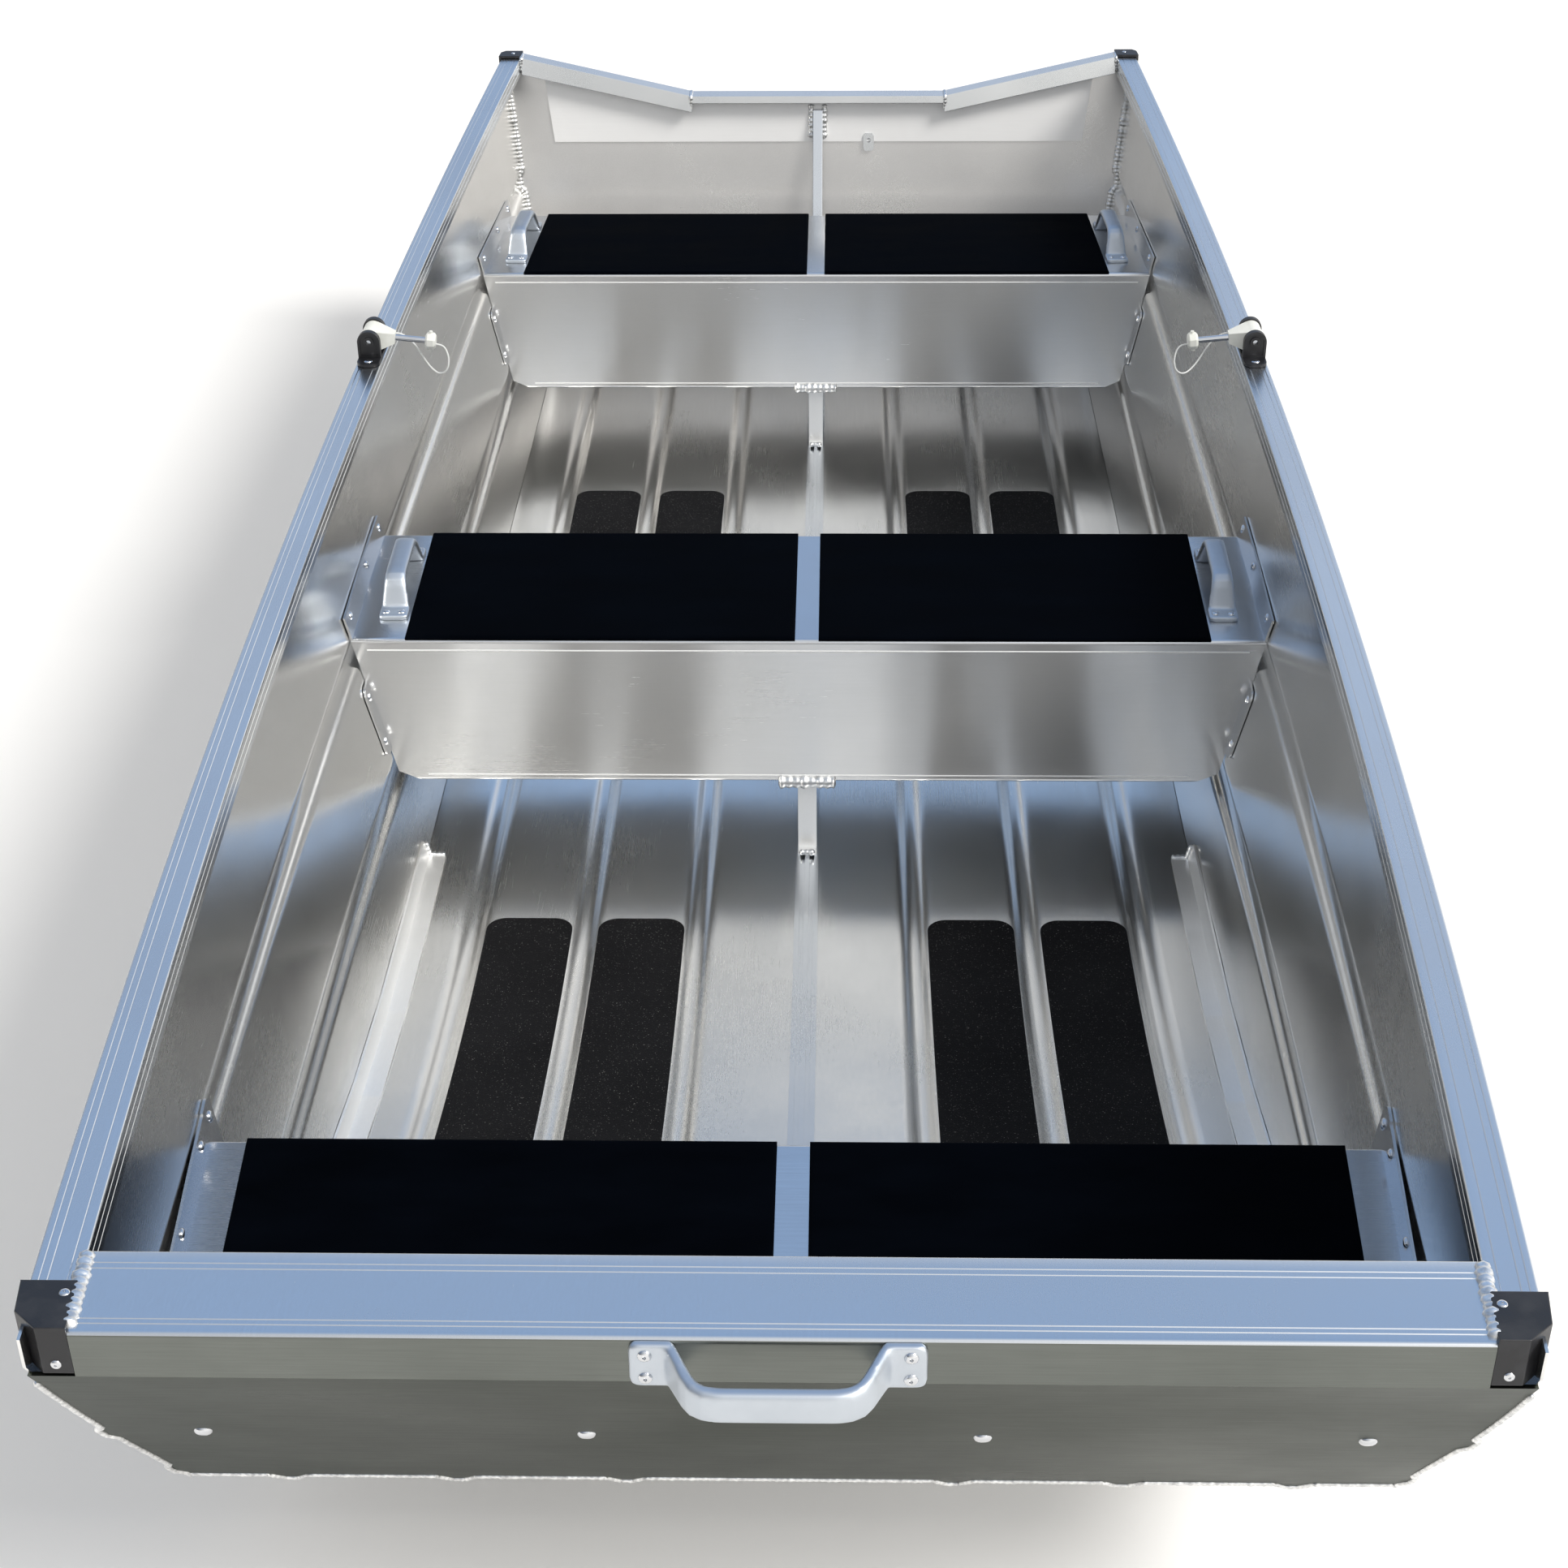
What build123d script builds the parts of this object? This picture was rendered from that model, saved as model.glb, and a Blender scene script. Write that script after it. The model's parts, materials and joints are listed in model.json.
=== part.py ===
from build123d import *
import math
import os

# Flat-bottomed jon boat of bare aluminium sheet, in millimetres.
# +X is starboard, +Y is aft, +Z is up. The origin is below the middle of the
# boat's length, on the floor that its bottom grooves stand on.

# Hull, overall sizes
HULL_LENGTH = 3050.0
BOTTOM_WIDTH = 914.0
BOW_BEAM = 922.0
MID_BEAM = 1130.0
STERN_BEAM = 1046.0
BOW_HEIGHT = 592.0
MID_HEIGHT = 472.0
STERN_HEIGHT = 510.0
SHEET = 2.0
PLATE = 3.0

# Bow and stern in side view
RAKE_FROM_NOSE = 1238.0
RAKE_RADIUS = 2559.0
NOSE_FACE = 36.0
BOW_PLATE_SETBACK = 245.0
TRANSOM_TILT = 12.0
TRANSOM_DIP = 60.0
TRANSOM_DIP_WIDTH = 420.0

# Pressed grooves
GROOVE_DEPTH = 8.0
GROOVE_TOP = 31.0
GROOVE_FLOOR = 10.0
GROOVE_PITCH = 129.0
GROOVE_FIRST = 124.5
GROOVES_A_SIDE = 3
SIDE_GROOVE_DEPTH = 6.0
SIDE_GROOVE_TOP = 34.0
SIDE_GROOVE_FLOOR = 18.0
SIDE_GROOVES_BELOW_RAIL = (200.0, 362.0)
SIDE_GROOVE_ABOVE_CHINE = 8.0

# Gunwale extrusion
RAIL_WIDTH = 32.0
RAIL_LEG = 25.0
RAIL_WALL = 2.5
RAIL_TUCK = 8.0

# Bow deck extrusion
DECK_DEPTH = 84.0
DECK_WALL = 3.0
DECK_LIP = 14.0
DECK_NOSE_ROUND = 5.0

# Seats
SEAT_SHEET = 2.5
SEAT_BEND = 5.0
SEAT_DEPTH = 272.0
SEAT_TOP = 300.0
SEAT_UNDER = 110.0
MID_SEAT_FROM_NOSE = 1403.0
STERN_SEAT_FROM_STERN = 468.0
BOW_SEAT_FROM_NOSE = 488.0
BOW_SEAT_TOP = 331.0
BOW_SEAT_UPSTAND = 52.0
SEAT_LIP = 14.0
SEAT_FLANGE = 26.0
FACE_BEVEL_ACROSS = 26.0
FACE_BEVEL_UP = 12.0
FACE_FLANGE = 26.0
FACE_FLANGE_LOW = 46.0
FACE_FLANGE_HIGH = 136.0
FACE_FLANGE_ROUND = 11.0
SIDE_GAP = 0.3
SEAT_END_GAP = 0.5
PAD = 3.0
PAD_MARGIN = 64.0
BOW_PAD_MARGIN = 33.0
PAD_CENTRE_GAP = 27.0
POST_WIDTH = 22.0
POST_DEPTH = 16.0

# Floor strips
KEEL_STRIP_WIDTH = 27.0
KEEL_STRIP_HEIGHT = 7.0
KEEL_RIDGES = 3
KEEL_JOINT_FROM_NOSE = 1100.0
GRIT_WIDTH = 99.0
GRIT = 0.8
GRIT_GLUE = 0.1
GRIT_CORNER = 22.0
GRIT_UNDER_SEAT = 60.0
BOW_GRIT_AFT_FROM_NOSE = 1262.0
MID_GRIT_AFT_FROM_NOSE = 2414.0
CHINE_WIDTH = 22.0
CHINE_THICK = 3.0
CHINE_AFT_FROM_NOSE = 1390.0

# Handles, all one casting
HANDLE_LENGTH = 180.0
HANDLE_STAND = 42.0
HANDLE_FOOT = 20.0
HANDLE_FOOT_WIDTH = 34.0
HANDLE_FOOT_THICK = 6.0
HANDLE_GRIP_WIDTH = 24.0
HANDLE_GRIP_THICK = 11.0
HANDLE_GRIP_LENGTH = 108.0
HANDLE_ARM_THICK = 9.0
HANDLE_OUTER_ROUND = 20.0
HANDLE_INNER_ROUND = 11.0
HANDLE_FROM_SIDE = 45.0

# Transom pieces
TRANSOM_RAIL_DEPTH = 30.0
TRANSOM_RAIL_HEIGHT = 26.0
CENTRE_RAIL_HEIGHT = 12.0
DOUBLER_BELOW_RAIL = 78.0
DOUBLER_MARGIN = 63.0
DOUBLER_TUCK = 8.0
BRACE_WIDTH = 16.0
BRACE_THICK = 8.0
BRACE_REACH = 95.0

# Black corner caps
CAP_WALL = 4.0
BOW_CAP_LENGTH = 48.0
BOW_CAP_DEPTH = 34.0
BOW_CAP_CHAMFER = 17.0
BOW_CAP_UNDERCUT = 12.0
STERN_CAP_LENGTH = 26.0
STERN_CAP_CHAMFER = 7.0

# Folding oarlocks
OARLOCK_FROM_NOSE = 1850.0
EAR_THICK = 8.0
EAR_RADIUS = 14.0
EAR_RIM = 3.0
EAR_RECESS = 1.5
BOSS_RADIUS = 6.5
BASE_PLATE = 4.0
BASE_FOOT = 22.0
BASE_CORNER = 11.0
HINGE_HEIGHT = 24.0
HINGE_RADIUS = 3.0
HINGE_INSET = 3.0
HINGE_CLEARANCE = 0.08
BLOCK_WIDTH = 36.0
BLOCK_GAP = 0.5
BLOCK_RADIUS = 12.0
BLOCK_REACH = 30.0
BLOCK_TIP = 13.0
BLOCK_HOOK = 15.0
BLOCK_HOOK_DROP = 6.0
PIN_RADIUS = 3.9
PIN_LENGTH = 38.0
PIN_DROOP = 6.0
KNOB_RADIUS = 10.5
KNOB_SIDES = 8
KNOB_LENGTH = 13.0
KNOB_EDGE = 2.5
KNOB_STUB_RADIUS = 2.4
KNOB_STUB = 2.5
TETHER_RADIUS = 1.0
TETHER_SIDES = 8
# Where the tether leaves the block, from its tip, how far it stands off first, and
# how much of each run its arcs take
TETHER_FROM_TIP = 6.0
TETHER_LEAD = 7.0
TETHER_ARC_SHARE = 0.45

# How the curved forms are divided
STATION_OVERRUN = 60.0
NOSE_STATIONS = 2
RAKE_STATIONS = 6
FLAT_STATIONS = 6
CUT_OVERRUN = 1.0
BISECTIONS = 60

# Places worked out from the sizes above
NOSE_Y = (HANDLE_STAND - HULL_LENGTH) / 2
STERN_Y = NOSE_Y + HULL_LENGTH
MIDDLE_Y = NOSE_Y + HULL_LENGTH / 2
RAKE_Y = NOSE_Y + RAKE_FROM_NOSE
BOW_FOOT_Y = NOSE_Y + BOW_PLATE_SETBACK
HALF_BOTTOM = BOTTOM_WIDTH / 2
FLOOR = GROOVE_DEPTH + SHEET
UNDERSIDE = GROOVE_DEPTH
ABOVE_ALL = 2 * BOW_HEIGHT
BESIDE_ALL = max(BOW_BEAM, MID_BEAM, STERN_BEAM)


def parabola(bow, middle, stern):
    """A curve along the hull through its values at the nose, middle and stern."""
    half = HULL_LENGTH / 2
    slope = (stern - bow) / (2 * half)
    bend = (stern + bow - 2 * middle) / (2 * half * half)
    return lambda y: middle + slope * (y - MIDDLE_Y) + bend * (y - MIDDLE_Y) ** 2


def stations():
    """Places along the hull where the sides' straight strips meet."""
    fore = NOSE_Y - STATION_OVERRUN
    aft = STERN_Y + STATION_OVERRUN
    places = [fore + (BOW_FOOT_Y - fore) * step / NOSE_STATIONS for step in range(NOSE_STATIONS)]
    places += [BOW_FOOT_Y + (RAKE_Y - BOW_FOOT_Y) * step / RAKE_STATIONS for step in range(RAKE_STATIONS)]
    return places + [RAKE_Y + (aft - RAKE_Y) * step / FLAT_STATIONS for step in range(FLAT_STATIONS + 1)]


def stations_between(fore, aft):
    """The two ends of a piece and the stations that it crosses."""
    return [fore] + [y for y in stations() if fore + CUT_OVERRUN < y < aft - CUT_OVERRUN] + [aft]


def in_strips(curve):
    """The curve as the straight strips follow it, from station to station."""
    places = stations()

    def strip(y):
        aft = next((number for number, place in enumerate(places) if place >= y), len(places) - 1)
        aft = max(aft, 1)
        start, end = places[aft - 1], places[aft]
        share = (y - start) / (end - start)
        return curve(start) * (1 - share) + curve(end) * share
    return strip


rail_outside = in_strips(parabola(BOW_BEAM / 2, MID_BEAM / 2, STERN_BEAM / 2))
rail_top = in_strips(parabola(BOW_HEIGHT, MID_HEIGHT, STERN_HEIGHT))


def bottom_height(y, above=0.0):
    """Height of a line on the bottom that is `above` the grooves' undersides."""
    if y >= RAKE_Y:
        return above
    radius = RAKE_RADIUS - above
    return RAKE_RADIUS - math.sqrt(radius ** 2 - (RAKE_Y - y) ** 2)


chine_height = in_strips(lambda y: bottom_height(max(y, BOW_FOOT_Y), UNDERSIDE))


def side_line(y):
    """Top and foot of the side sheet's inner face, as (x, z) on starboard."""
    top = (rail_outside(y) - RAIL_WALL - SHEET, rail_top(y) - RAIL_LEG - RAIL_TUCK)
    return top, (HALF_BOTTOM, chine_height(y))


def side_x(y, z):
    """Inner face of the side sheet at a height, between its grooves."""
    top, foot = side_line(y)
    return foot[0] + (top[0] - foot[0]) * (z - foot[1]) / (top[1] - foot[1])


def side_path(y, outward):
    """The side sheet's face from its top edge to the chine, moved outward."""
    top, foot = side_line(y)
    length = math.dist(top, foot)
    down = ((foot[0] - top[0]) / length, (foot[1] - top[1]) / length)
    out = (-down[1], down[0])

    def at(distance, proud):
        return (top[0] + down[0] * distance + out[0] * proud,
                top[1] + down[1] * distance + out[1] * proud)

    points = [(top[0] + outward, rail_top(y) - RAIL_WALL), (top[0] + outward, top[1])]
    for below in SIDE_GROOVES_BELOW_RAIL:
        lowest = length - SIDE_GROOVE_TOP / 2 - SIDE_GROOVE_ABOVE_CHINE
        middle = min(below - RAIL_LEG - RAIL_TUCK, lowest)
        for half, proud in ((-SIDE_GROOVE_TOP / 2, 0.0), (-SIDE_GROOVE_FLOOR / 2, SIDE_GROOVE_DEPTH),
                            (SIDE_GROOVE_FLOOR / 2, SIDE_GROOVE_DEPTH), (SIDE_GROOVE_TOP / 2, 0.0)):
            points.append(at(middle + half, proud + outward))
    points.append(at(length, outward))
    return points


def groove_centres():
    """Distances of the bottom's grooves from the keel line."""
    return [GROOVE_FIRST + GROOVE_PITCH * number for number in range(GROOVES_A_SIDE)]


def bottom_path(raised):
    """Half of the bottom's cross-section from the keel line to the chine, as (x, z)."""
    points = [(0.0, GROOVE_DEPTH + raised)]
    for centre in groove_centres():
        points += [(centre - GROOVE_TOP / 2, GROOVE_DEPTH + raised), (centre - GROOVE_FLOOR / 2, raised),
                   (centre + GROOVE_FLOOR / 2, raised), (centre + GROOVE_TOP / 2, GROOVE_DEPTH + raised)]
    points.append((HALF_BOTTOM, GROOVE_DEPTH + raised))
    return points


def mirrored(points):
    return [(-x, z) for x, z in points]


def face_across(points, y):
    """A flat face square to the keel at y, from (x, z) points."""
    return Face(Wire.make_polygon([Vector(x, y, z) for x, z in points], close=True))


def face_lengthwise(points, x):
    """A flat face along the keel at x, from (y, z) points."""
    return Face(Wire.make_polygon([Vector(x, y, z) for y, z in points], close=True))


def face_flat(points, z):
    """A level face at z, from (x, y) points."""
    return Face(Wire.make_polygon([Vector(x, y, z) for x, y in points], close=True))


def run(face, along):
    """A prism: the face moved along a vector."""
    return Solid.extrude(face, Vector(*along))


def across(points, y_from, y_to):
    return run(face_across(points, y_from), (0, y_to - y_from, 0))


def lengthwise(points, x_from, x_to):
    return run(face_lengthwise(points, x_from), (x_to - x_from, 0, 0))


def level(points, z_from, z_to):
    return run(face_flat(points, z_from), (0, 0, z_to - z_from))


def rectangle(low, high):
    """Corners of the upright rectangle between two opposite corners."""
    return [low, (high[0], low[1]), high, (low[0], high[1])]


def join(*pieces):
    whole = pieces[0]
    for piece in pieces[1:]:
        whole = whole + piece
    return whole


def ruled(section, places):
    """A skin of straight strips through one section at each station."""
    wires = [Wire.make_polygon([Vector(x, y, z) for x, z in section(y)], close=True) for y in places]
    return Solid.make_loft(wires, ruled=True)


def to_port(piece):
    return mirror(piece, about=Plane.YZ)


def edges_near(piece, axis, places):
    """The piece's edges along an axis that pass nearest to the given places, in its cross plane."""
    def across_axis(point):
        return (point.Y, point.Z) if axis == Axis.X else (point.X, point.Z)
    lines = piece.edges().filter_by(axis)
    return [min(lines, key=lambda edge: math.dist(across_axis(edge.center()), place)) for place in places]


def along_floor(points, y_fore, y_aft):
    """A strip with a constant section that follows the flat bottom and its rake."""
    piece = None
    if y_aft > RAKE_Y:
        start = max(y_fore, RAKE_Y)
        piece = across(points, start, y_aft)
    if y_fore < RAKE_Y:
        axis = Axis((0, RAKE_Y, RAKE_RADIUS), (-1, 0, 0))
        turn = math.degrees(math.asin((RAKE_Y - y_fore) / RAKE_RADIUS))
        skip = math.degrees(math.asin(max(RAKE_Y - y_aft, 0.0) / RAKE_RADIUS))
        bent = revolve(face_across(points, RAKE_Y), axis=axis, revolution_arc=turn - skip)
        if skip:
            bent = bent.rotate(axis, skip)
        piece = bent if piece is None else piece + bent
    return piece


# The bow plate and the transom close the two ends, each on a sloping plane. The
# transom stands forward of the stern line by the channel that sits over its edge.
TRANSOM_SLOPE = math.tan(math.radians(TRANSOM_TILT))
CHANNEL_PROUD = (RAIL_WALL + SIDE_GAP) / math.cos(math.radians(TRANSOM_TILT))
NOSE_FOOT_Z = rail_top(NOSE_Y) - NOSE_FACE
BOW_FOOT = (BOW_FOOT_Y, bottom_height(BOW_FOOT_Y))
BOW_TOP = (NOSE_Y, NOSE_FOOT_Z)
STERN_TOP = (STERN_Y - CHANNEL_PROUD, rail_top(STERN_Y))
STERN_FOOT = (STERN_TOP[0] - STERN_TOP[1] * TRANSOM_SLOPE, 0.0)

# The bow cap's solid nose holds the gunwale back by its cut-off corner
CAP_NOSE = BOW_CAP_CHAMFER + CAP_WALL / 2
RAIL_FORE_Y = NOSE_Y + CAP_NOSE + SIDE_GAP
RAIL_AFT_Y = STERN_Y - CAP_WALL - SIDE_GAP


def moved_inward(top, foot, distance):
    """The line from top to foot, moved towards the middle of the boat."""
    length = math.dist(top, foot)
    side = 1.0 if top[0] < 0 else -1.0
    shift = (side * (top[1] - foot[1]) / length * distance, side * (foot[0] - top[0]) / length * distance)
    return (top[0] + shift[0], top[1] + shift[1]), (foot[0] + shift[0], foot[1] + shift[1])


def on_line(top, foot, z):
    """Where the line through top and foot is at a height."""
    return foot[0] + (z - foot[1]) * (top[0] - foot[0]) / (top[1] - foot[1])


def on_bow_plate(z):
    """The inner face of the bow plate at a height."""
    return on_line(*moved_inward(BOW_TOP, BOW_FOOT, PLATE), z)


def on_transom(z):
    """The inner face of the transom plate at a height."""
    return on_line(*moved_inward(STERN_TOP, STERN_FOOT, PLATE), z)


def behind_transom(z):
    """The outer face of the transom plate at a height."""
    return on_line(STERN_TOP, STERN_FOOT, z)


def end_trim():
    """Everything between the end plates, in side view, with room for the bow caps' solid noses."""
    step = rail_top(NOSE_Y + CAP_NOSE) - BOW_CAP_DEPTH - SIDE_GAP
    below = -BOW_HEIGHT
    return lengthwise([(on_bow_plate(below), below), (on_bow_plate(step), step), (RAIL_FORE_Y, step),
                       (RAIL_FORE_Y, ABOVE_ALL), (on_transom(ABOVE_ALL), ABOVE_ALL), (on_transom(below), below)],
                      -BESIDE_ALL, BESIDE_ALL)


def where_cut(line, top, foot):
    """Where a line along the hull, a function of y giving (x, z), meets an end plane."""
    def height_over(y):
        return line(y)[1] - (foot[1] + (y - foot[0]) * (top[1] - foot[1]) / (top[0] - foot[0]))
    low, high = sorted((top[0], foot[0]))
    low, high = low - STATION_OVERRUN, high + STATION_OVERRUN
    rising = height_over(high) > height_over(low)
    for _ in range(BISECTIONS):
        middle = (low + high) / 2
        if (height_over(middle) > 0) == rising:
            high = middle
        else:
            low = middle
    x, z = line(high)
    return Vector(x, high, z)


def end_outline(top, foot):
    """The hull's outer outline on an end plane, starboard half, from the keel line up."""
    points = []
    for number in range(len(bottom_path(0.0))):
        def line(y, number=number):
            x, above = bottom_path(0.0)[number]
            return x, bottom_height(y, above)
        points.append(where_cut(line, top, foot))
    for number in range(len(side_path(MIDDLE_Y, SHEET)) - 1, 0, -1):
        points.append(where_cut(lambda y, number=number: side_path(y, SHEET)[number], top, foot))
    return points


def end_plate(top, foot, upper):
    """A flat plate over the hull's cut end; upper is its top edge, from starboard inward."""
    half = [point for point in end_outline(top, foot) if point.Z < upper[0][1] - CUT_OVERRUN]
    crown = [Vector(x, on_line(top, foot, z), z) for x, z in upper]
    starboard = half + crown
    port = [Vector(-point.X, point.Y, point.Z) for point in starboard if point.X > CUT_OVERRUN]
    inner_foot = moved_inward(top, foot, PLATE)[1]
    return run(Face(Wire.make_polygon(starboard + port[::-1], close=True)),
               (0, inner_foot[0] - foot[0], inner_foot[1] - foot[1]))


def rail_section(y):
    """The gunwale extrusion, open below, with the side sheet's edge inside its outer leg."""
    out, top = rail_outside(y), rail_top(y)
    inn, under = out - RAIL_WIDTH, top - RAIL_LEG
    return [(out, top), (out, under), (out - RAIL_WALL, under), (out - RAIL_WALL, top - RAIL_WALL),
            (inn + RAIL_WALL, top - RAIL_WALL), (inn + RAIL_WALL, under), (inn, under), (inn, top)]


# Hull
def hull_bottom():
    half_low, half_high = bottom_path(0.0), bottom_path(SHEET)
    points = mirrored(half_low)[::-1][:-1] + half_low + half_high[::-1] + mirrored(half_high)[1:]
    return along_floor(points, NOSE_Y, STERN_Y) & TRIM


def hull_side():
    def section(y):
        return side_path(y, 0.0) + side_path(y, SHEET)[::-1]
    return ruled(section, stations()) & TRIM


def gunwale():
    trim = level(rectangle((0, RAIL_FORE_Y), (BESIDE_ALL, RAIL_AFT_Y)), 0, ABOVE_ALL)
    return ruled(rail_section, stations()) & trim


def bow_plate():
    top_x = side_x(NOSE_Y, NOSE_FOOT_Z) + SHEET
    reach = rectangle((-BESIDE_ALL, NOSE_Y), (BESIDE_ALL, MIDDLE_Y))
    return end_plate(BOW_TOP, BOW_FOOT, [(top_x, NOSE_FOOT_Z)]) & level(reach, 0, NOSE_FOOT_Z)


def transom_plate():
    """The transom, its upper edge inside the channel that sits over it."""
    corner = rail_top(STERN_Y) - RAIL_LEG - PLATE
    inside = RAIL_WALL + SIDE_GAP + PLATE * math.sin(math.radians(TRANSOM_TILT))
    (low_x, low), (high_x, high) = channel_ends()
    return end_plate(STERN_TOP, STERN_FOOT,
                     [(side_x(STERN_Y, corner), corner), (high_x, corner), (high_x, high - inside),
                      (low_x, low - inside)])


def bow_deck():
    """The extrusion across the nose, with a rounded fore edge."""
    fore, aft = NOSE_Y, NOSE_Y + DECK_DEPTH
    high, low = rail_top(fore), rail_top(aft)
    section = [(fore, high), (fore, high - NOSE_FACE), (fore + DECK_WALL, high - NOSE_FACE),
               (fore + DECK_WALL, high - DECK_WALL), (aft - DECK_WALL, low - DECK_WALL),
               (aft - DECK_WALL, low - DECK_LIP), (aft, low - DECK_LIP), (aft, low)]
    bar = lengthwise(section, -BESIDE_ALL, BESIDE_ALL)
    bar = fillet(edges_near(bar, Axis.X, [(fore, high)]), DECK_NOSE_ROUND)
    inner = [(rail_outside(y) - RAIL_WIDTH - SIDE_GAP, y) for y in (fore, aft)]
    plan = [inner[0], inner[1], (-inner[1][0], aft), (-inner[0][0], fore)]
    return bar & level(plan, 0, ABOVE_ALL)


def chine_strip():
    """A flat bar in the inside corner between the bottom and the side."""
    def section(y):
        floor = bottom_height(y, FLOOR)
        inner = HALF_BOTTOM - CHINE_WIDTH
        return [(inner, floor), (HALF_BOTTOM, floor), (side_x(y, floor + CHINE_WIDTH) - SIDE_GAP, floor + CHINE_WIDTH),
                (side_x(y, floor + CHINE_WIDTH) - CHINE_THICK, floor + CHINE_WIDTH),
                (HALF_BOTTOM - CHINE_THICK, floor + CHINE_THICK), (inner, floor + CHINE_THICK)]
    aft = NOSE_Y + CHINE_AFT_FROM_NOSE
    places = [y for y in stations() if y < aft] + [aft]
    return ruled(section, places) & TRIM


def keel_strip():
    """The ribbed bar down the middle of the floor, in two lengths end to end."""
    pitch = KEEL_STRIP_WIDTH / (2 * KEEL_RIDGES - 1)
    low, high = FLOOR + KEEL_STRIP_HEIGHT / 2, FLOOR + KEEL_STRIP_HEIGHT
    points = [(-KEEL_STRIP_WIDTH / 2, FLOOR)]
    for number in range(2 * KEEL_RIDGES - 1):
        z = high if number % 2 == 0 else low
        left = -KEEL_STRIP_WIDTH / 2 + number * pitch
        points += [(left, z), (left + pitch, z)]
    points.append((KEEL_STRIP_WIDTH / 2, FLOOR))
    joint = NOSE_Y + KEEL_JOINT_FROM_NOSE
    fore = along_floor(points, NOSE_Y, joint - SIDE_GAP / 2) & TRIM
    aft = along_floor(points, joint + SIDE_GAP / 2, STERN_Y) & TRIM
    return [fore, aft]


def grit_strips(y_fore, y_aft):
    """Four strips of gritty tape between the grooves, each with a rounded aft end."""
    strips = []
    low, high = FLOOR + GRIT_GLUE, FLOOR + GRIT_GLUE + GRIT
    middles = [GROOVE_FIRST + GROOVE_PITCH * (number + 0.5) for number in range(GROOVES_A_SIDE - 1)]
    for middle in [-place for place in middles] + middles:
        left, right = middle - GRIT_WIDTH / 2, middle + GRIT_WIDTH / 2
        strip = along_floor(rectangle((left, low), (right, high)), y_fore, y_aft)
        corners = [edge for edge in strip.edges().filter_by(Axis.Z) if edge.center().Y > y_aft - CUT_OVERRUN]
        strips.append(fillet(corners, GRIT_CORNER))
    return strips


# Seats
def cabin(gap):
    """The space between the side sheets' flat faces, less a gap beside each."""
    def section(y):
        (top_x, top_z), (foot_x, foot_z) = side_line(y)
        starboard = [(foot_x - gap, foot_z), (top_x - gap, top_z)]
        return starboard + mirrored(starboard)[::-1]
    return ruled(section, stations())


def bent_sheet(path, half_width):
    """A sheet bent along (y, z) corners, its thickness to the right of the path and its bends rounded."""
    steps = [(b[0] - a[0], b[1] - a[1]) for a, b in zip(path, path[1:])]
    right = [(dz / math.hypot(dy, dz), -dy / math.hypot(dy, dz)) for dy, dz in steps]
    back = []
    for here, before, after in zip(path, [right[0]] + right, right + [right[-1]]):
        share = SEAT_SHEET / (1 + before[0] * after[0] + before[1] * after[1])
        back.append((here[0] + (before[0] + after[0]) * share, here[1] + (before[1] + after[1]) * share))
    sheet = lengthwise(path + back[::-1], -half_width, half_width)
    wide, tight = [], []
    for number in range(1, len(path) - 1):
        before, after = steps[number - 1], steps[number]
        turns_left = before[0] * after[1] - before[1] * after[0] > 0
        wide.append(back[number] if turns_left else path[number])
        tight.append(path[number] if turns_left else back[number])
    sheet = fillet(edges_near(sheet, Axis.X, wide), SEAT_BEND)
    return fillet(edges_near(sheet, Axis.X, tight), SEAT_BEND - SEAT_SHEET)


def side_tab(low, high, rounded):
    """Tabs along both sides of the hull, still thick outward; rounded lists the corners to round off."""
    tab = lengthwise(rectangle(low, high), -BESIDE_ALL, BESIDE_ALL)
    if rounded:
        tab = fillet(edges_near(tab, Axis.X, rounded), FACE_FLANGE_ROUND)
    return tab - cabin(SEAT_END_GAP + SEAT_SHEET)


def face_tabs(face, free, under):
    """Tabs bent along the hull from a bench's upright face, from the face to their free edge."""
    low, high = under + FACE_FLANGE_LOW, under + FACE_FLANGE_HIGH
    near, far = sorted((face, free))
    return side_tab((near, low), (far, high), [(free, low), (free, high)])


def face_bevels(y, under):
    """What is cut off the lower corners of an upright face, on both sides."""
    side = side_x(y, under)
    rise = FACE_BEVEL_UP / FACE_BEVEL_ACROSS
    reach = SEAT_LIP + FACE_BEVEL_ACROSS
    wedge = across([(side - FACE_BEVEL_ACROSS - CUT_OVERRUN / rise, under - CUT_OVERRUN),
                    (side + reach, under - CUT_OVERRUN), (side + reach, under + rise * (FACE_BEVEL_ACROSS + reach))],
                   y - reach, y + reach)
    return join(wedge, to_port(wedge))


def bench(fore, aft):
    """A bench bent from sheet: a top, two faces with lips, and tabs up the sides."""
    z, under, middle = SEAT_TOP, SEAT_UNDER, SEAT_SHEET / 2
    sheet = bent_sheet([(fore + SEAT_LIP, under), (fore, under), (fore, z), (aft, z), (aft, under),
                        (aft - SEAT_LIP, under)], BESIDE_ALL)
    sheet = sheet - face_bevels(fore, under) - face_bevels(aft, under)
    tabs = join(side_tab((fore + middle, z - middle), (aft - middle, z + SEAT_FLANGE), []),
                face_tabs(fore + middle, fore - FACE_FLANGE, under),
                face_tabs(aft - middle, aft + FACE_FLANGE, under))
    beside = rectangle((fore - BESIDE_ALL, 0), (aft + BESIDE_ALL, 2 * z))
    starboard = join(sheet, tabs) & cabin(SEAT_END_GAP) & lengthwise(beside, 0, BESIDE_ALL)
    return join(starboard, to_port(starboard))


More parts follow.
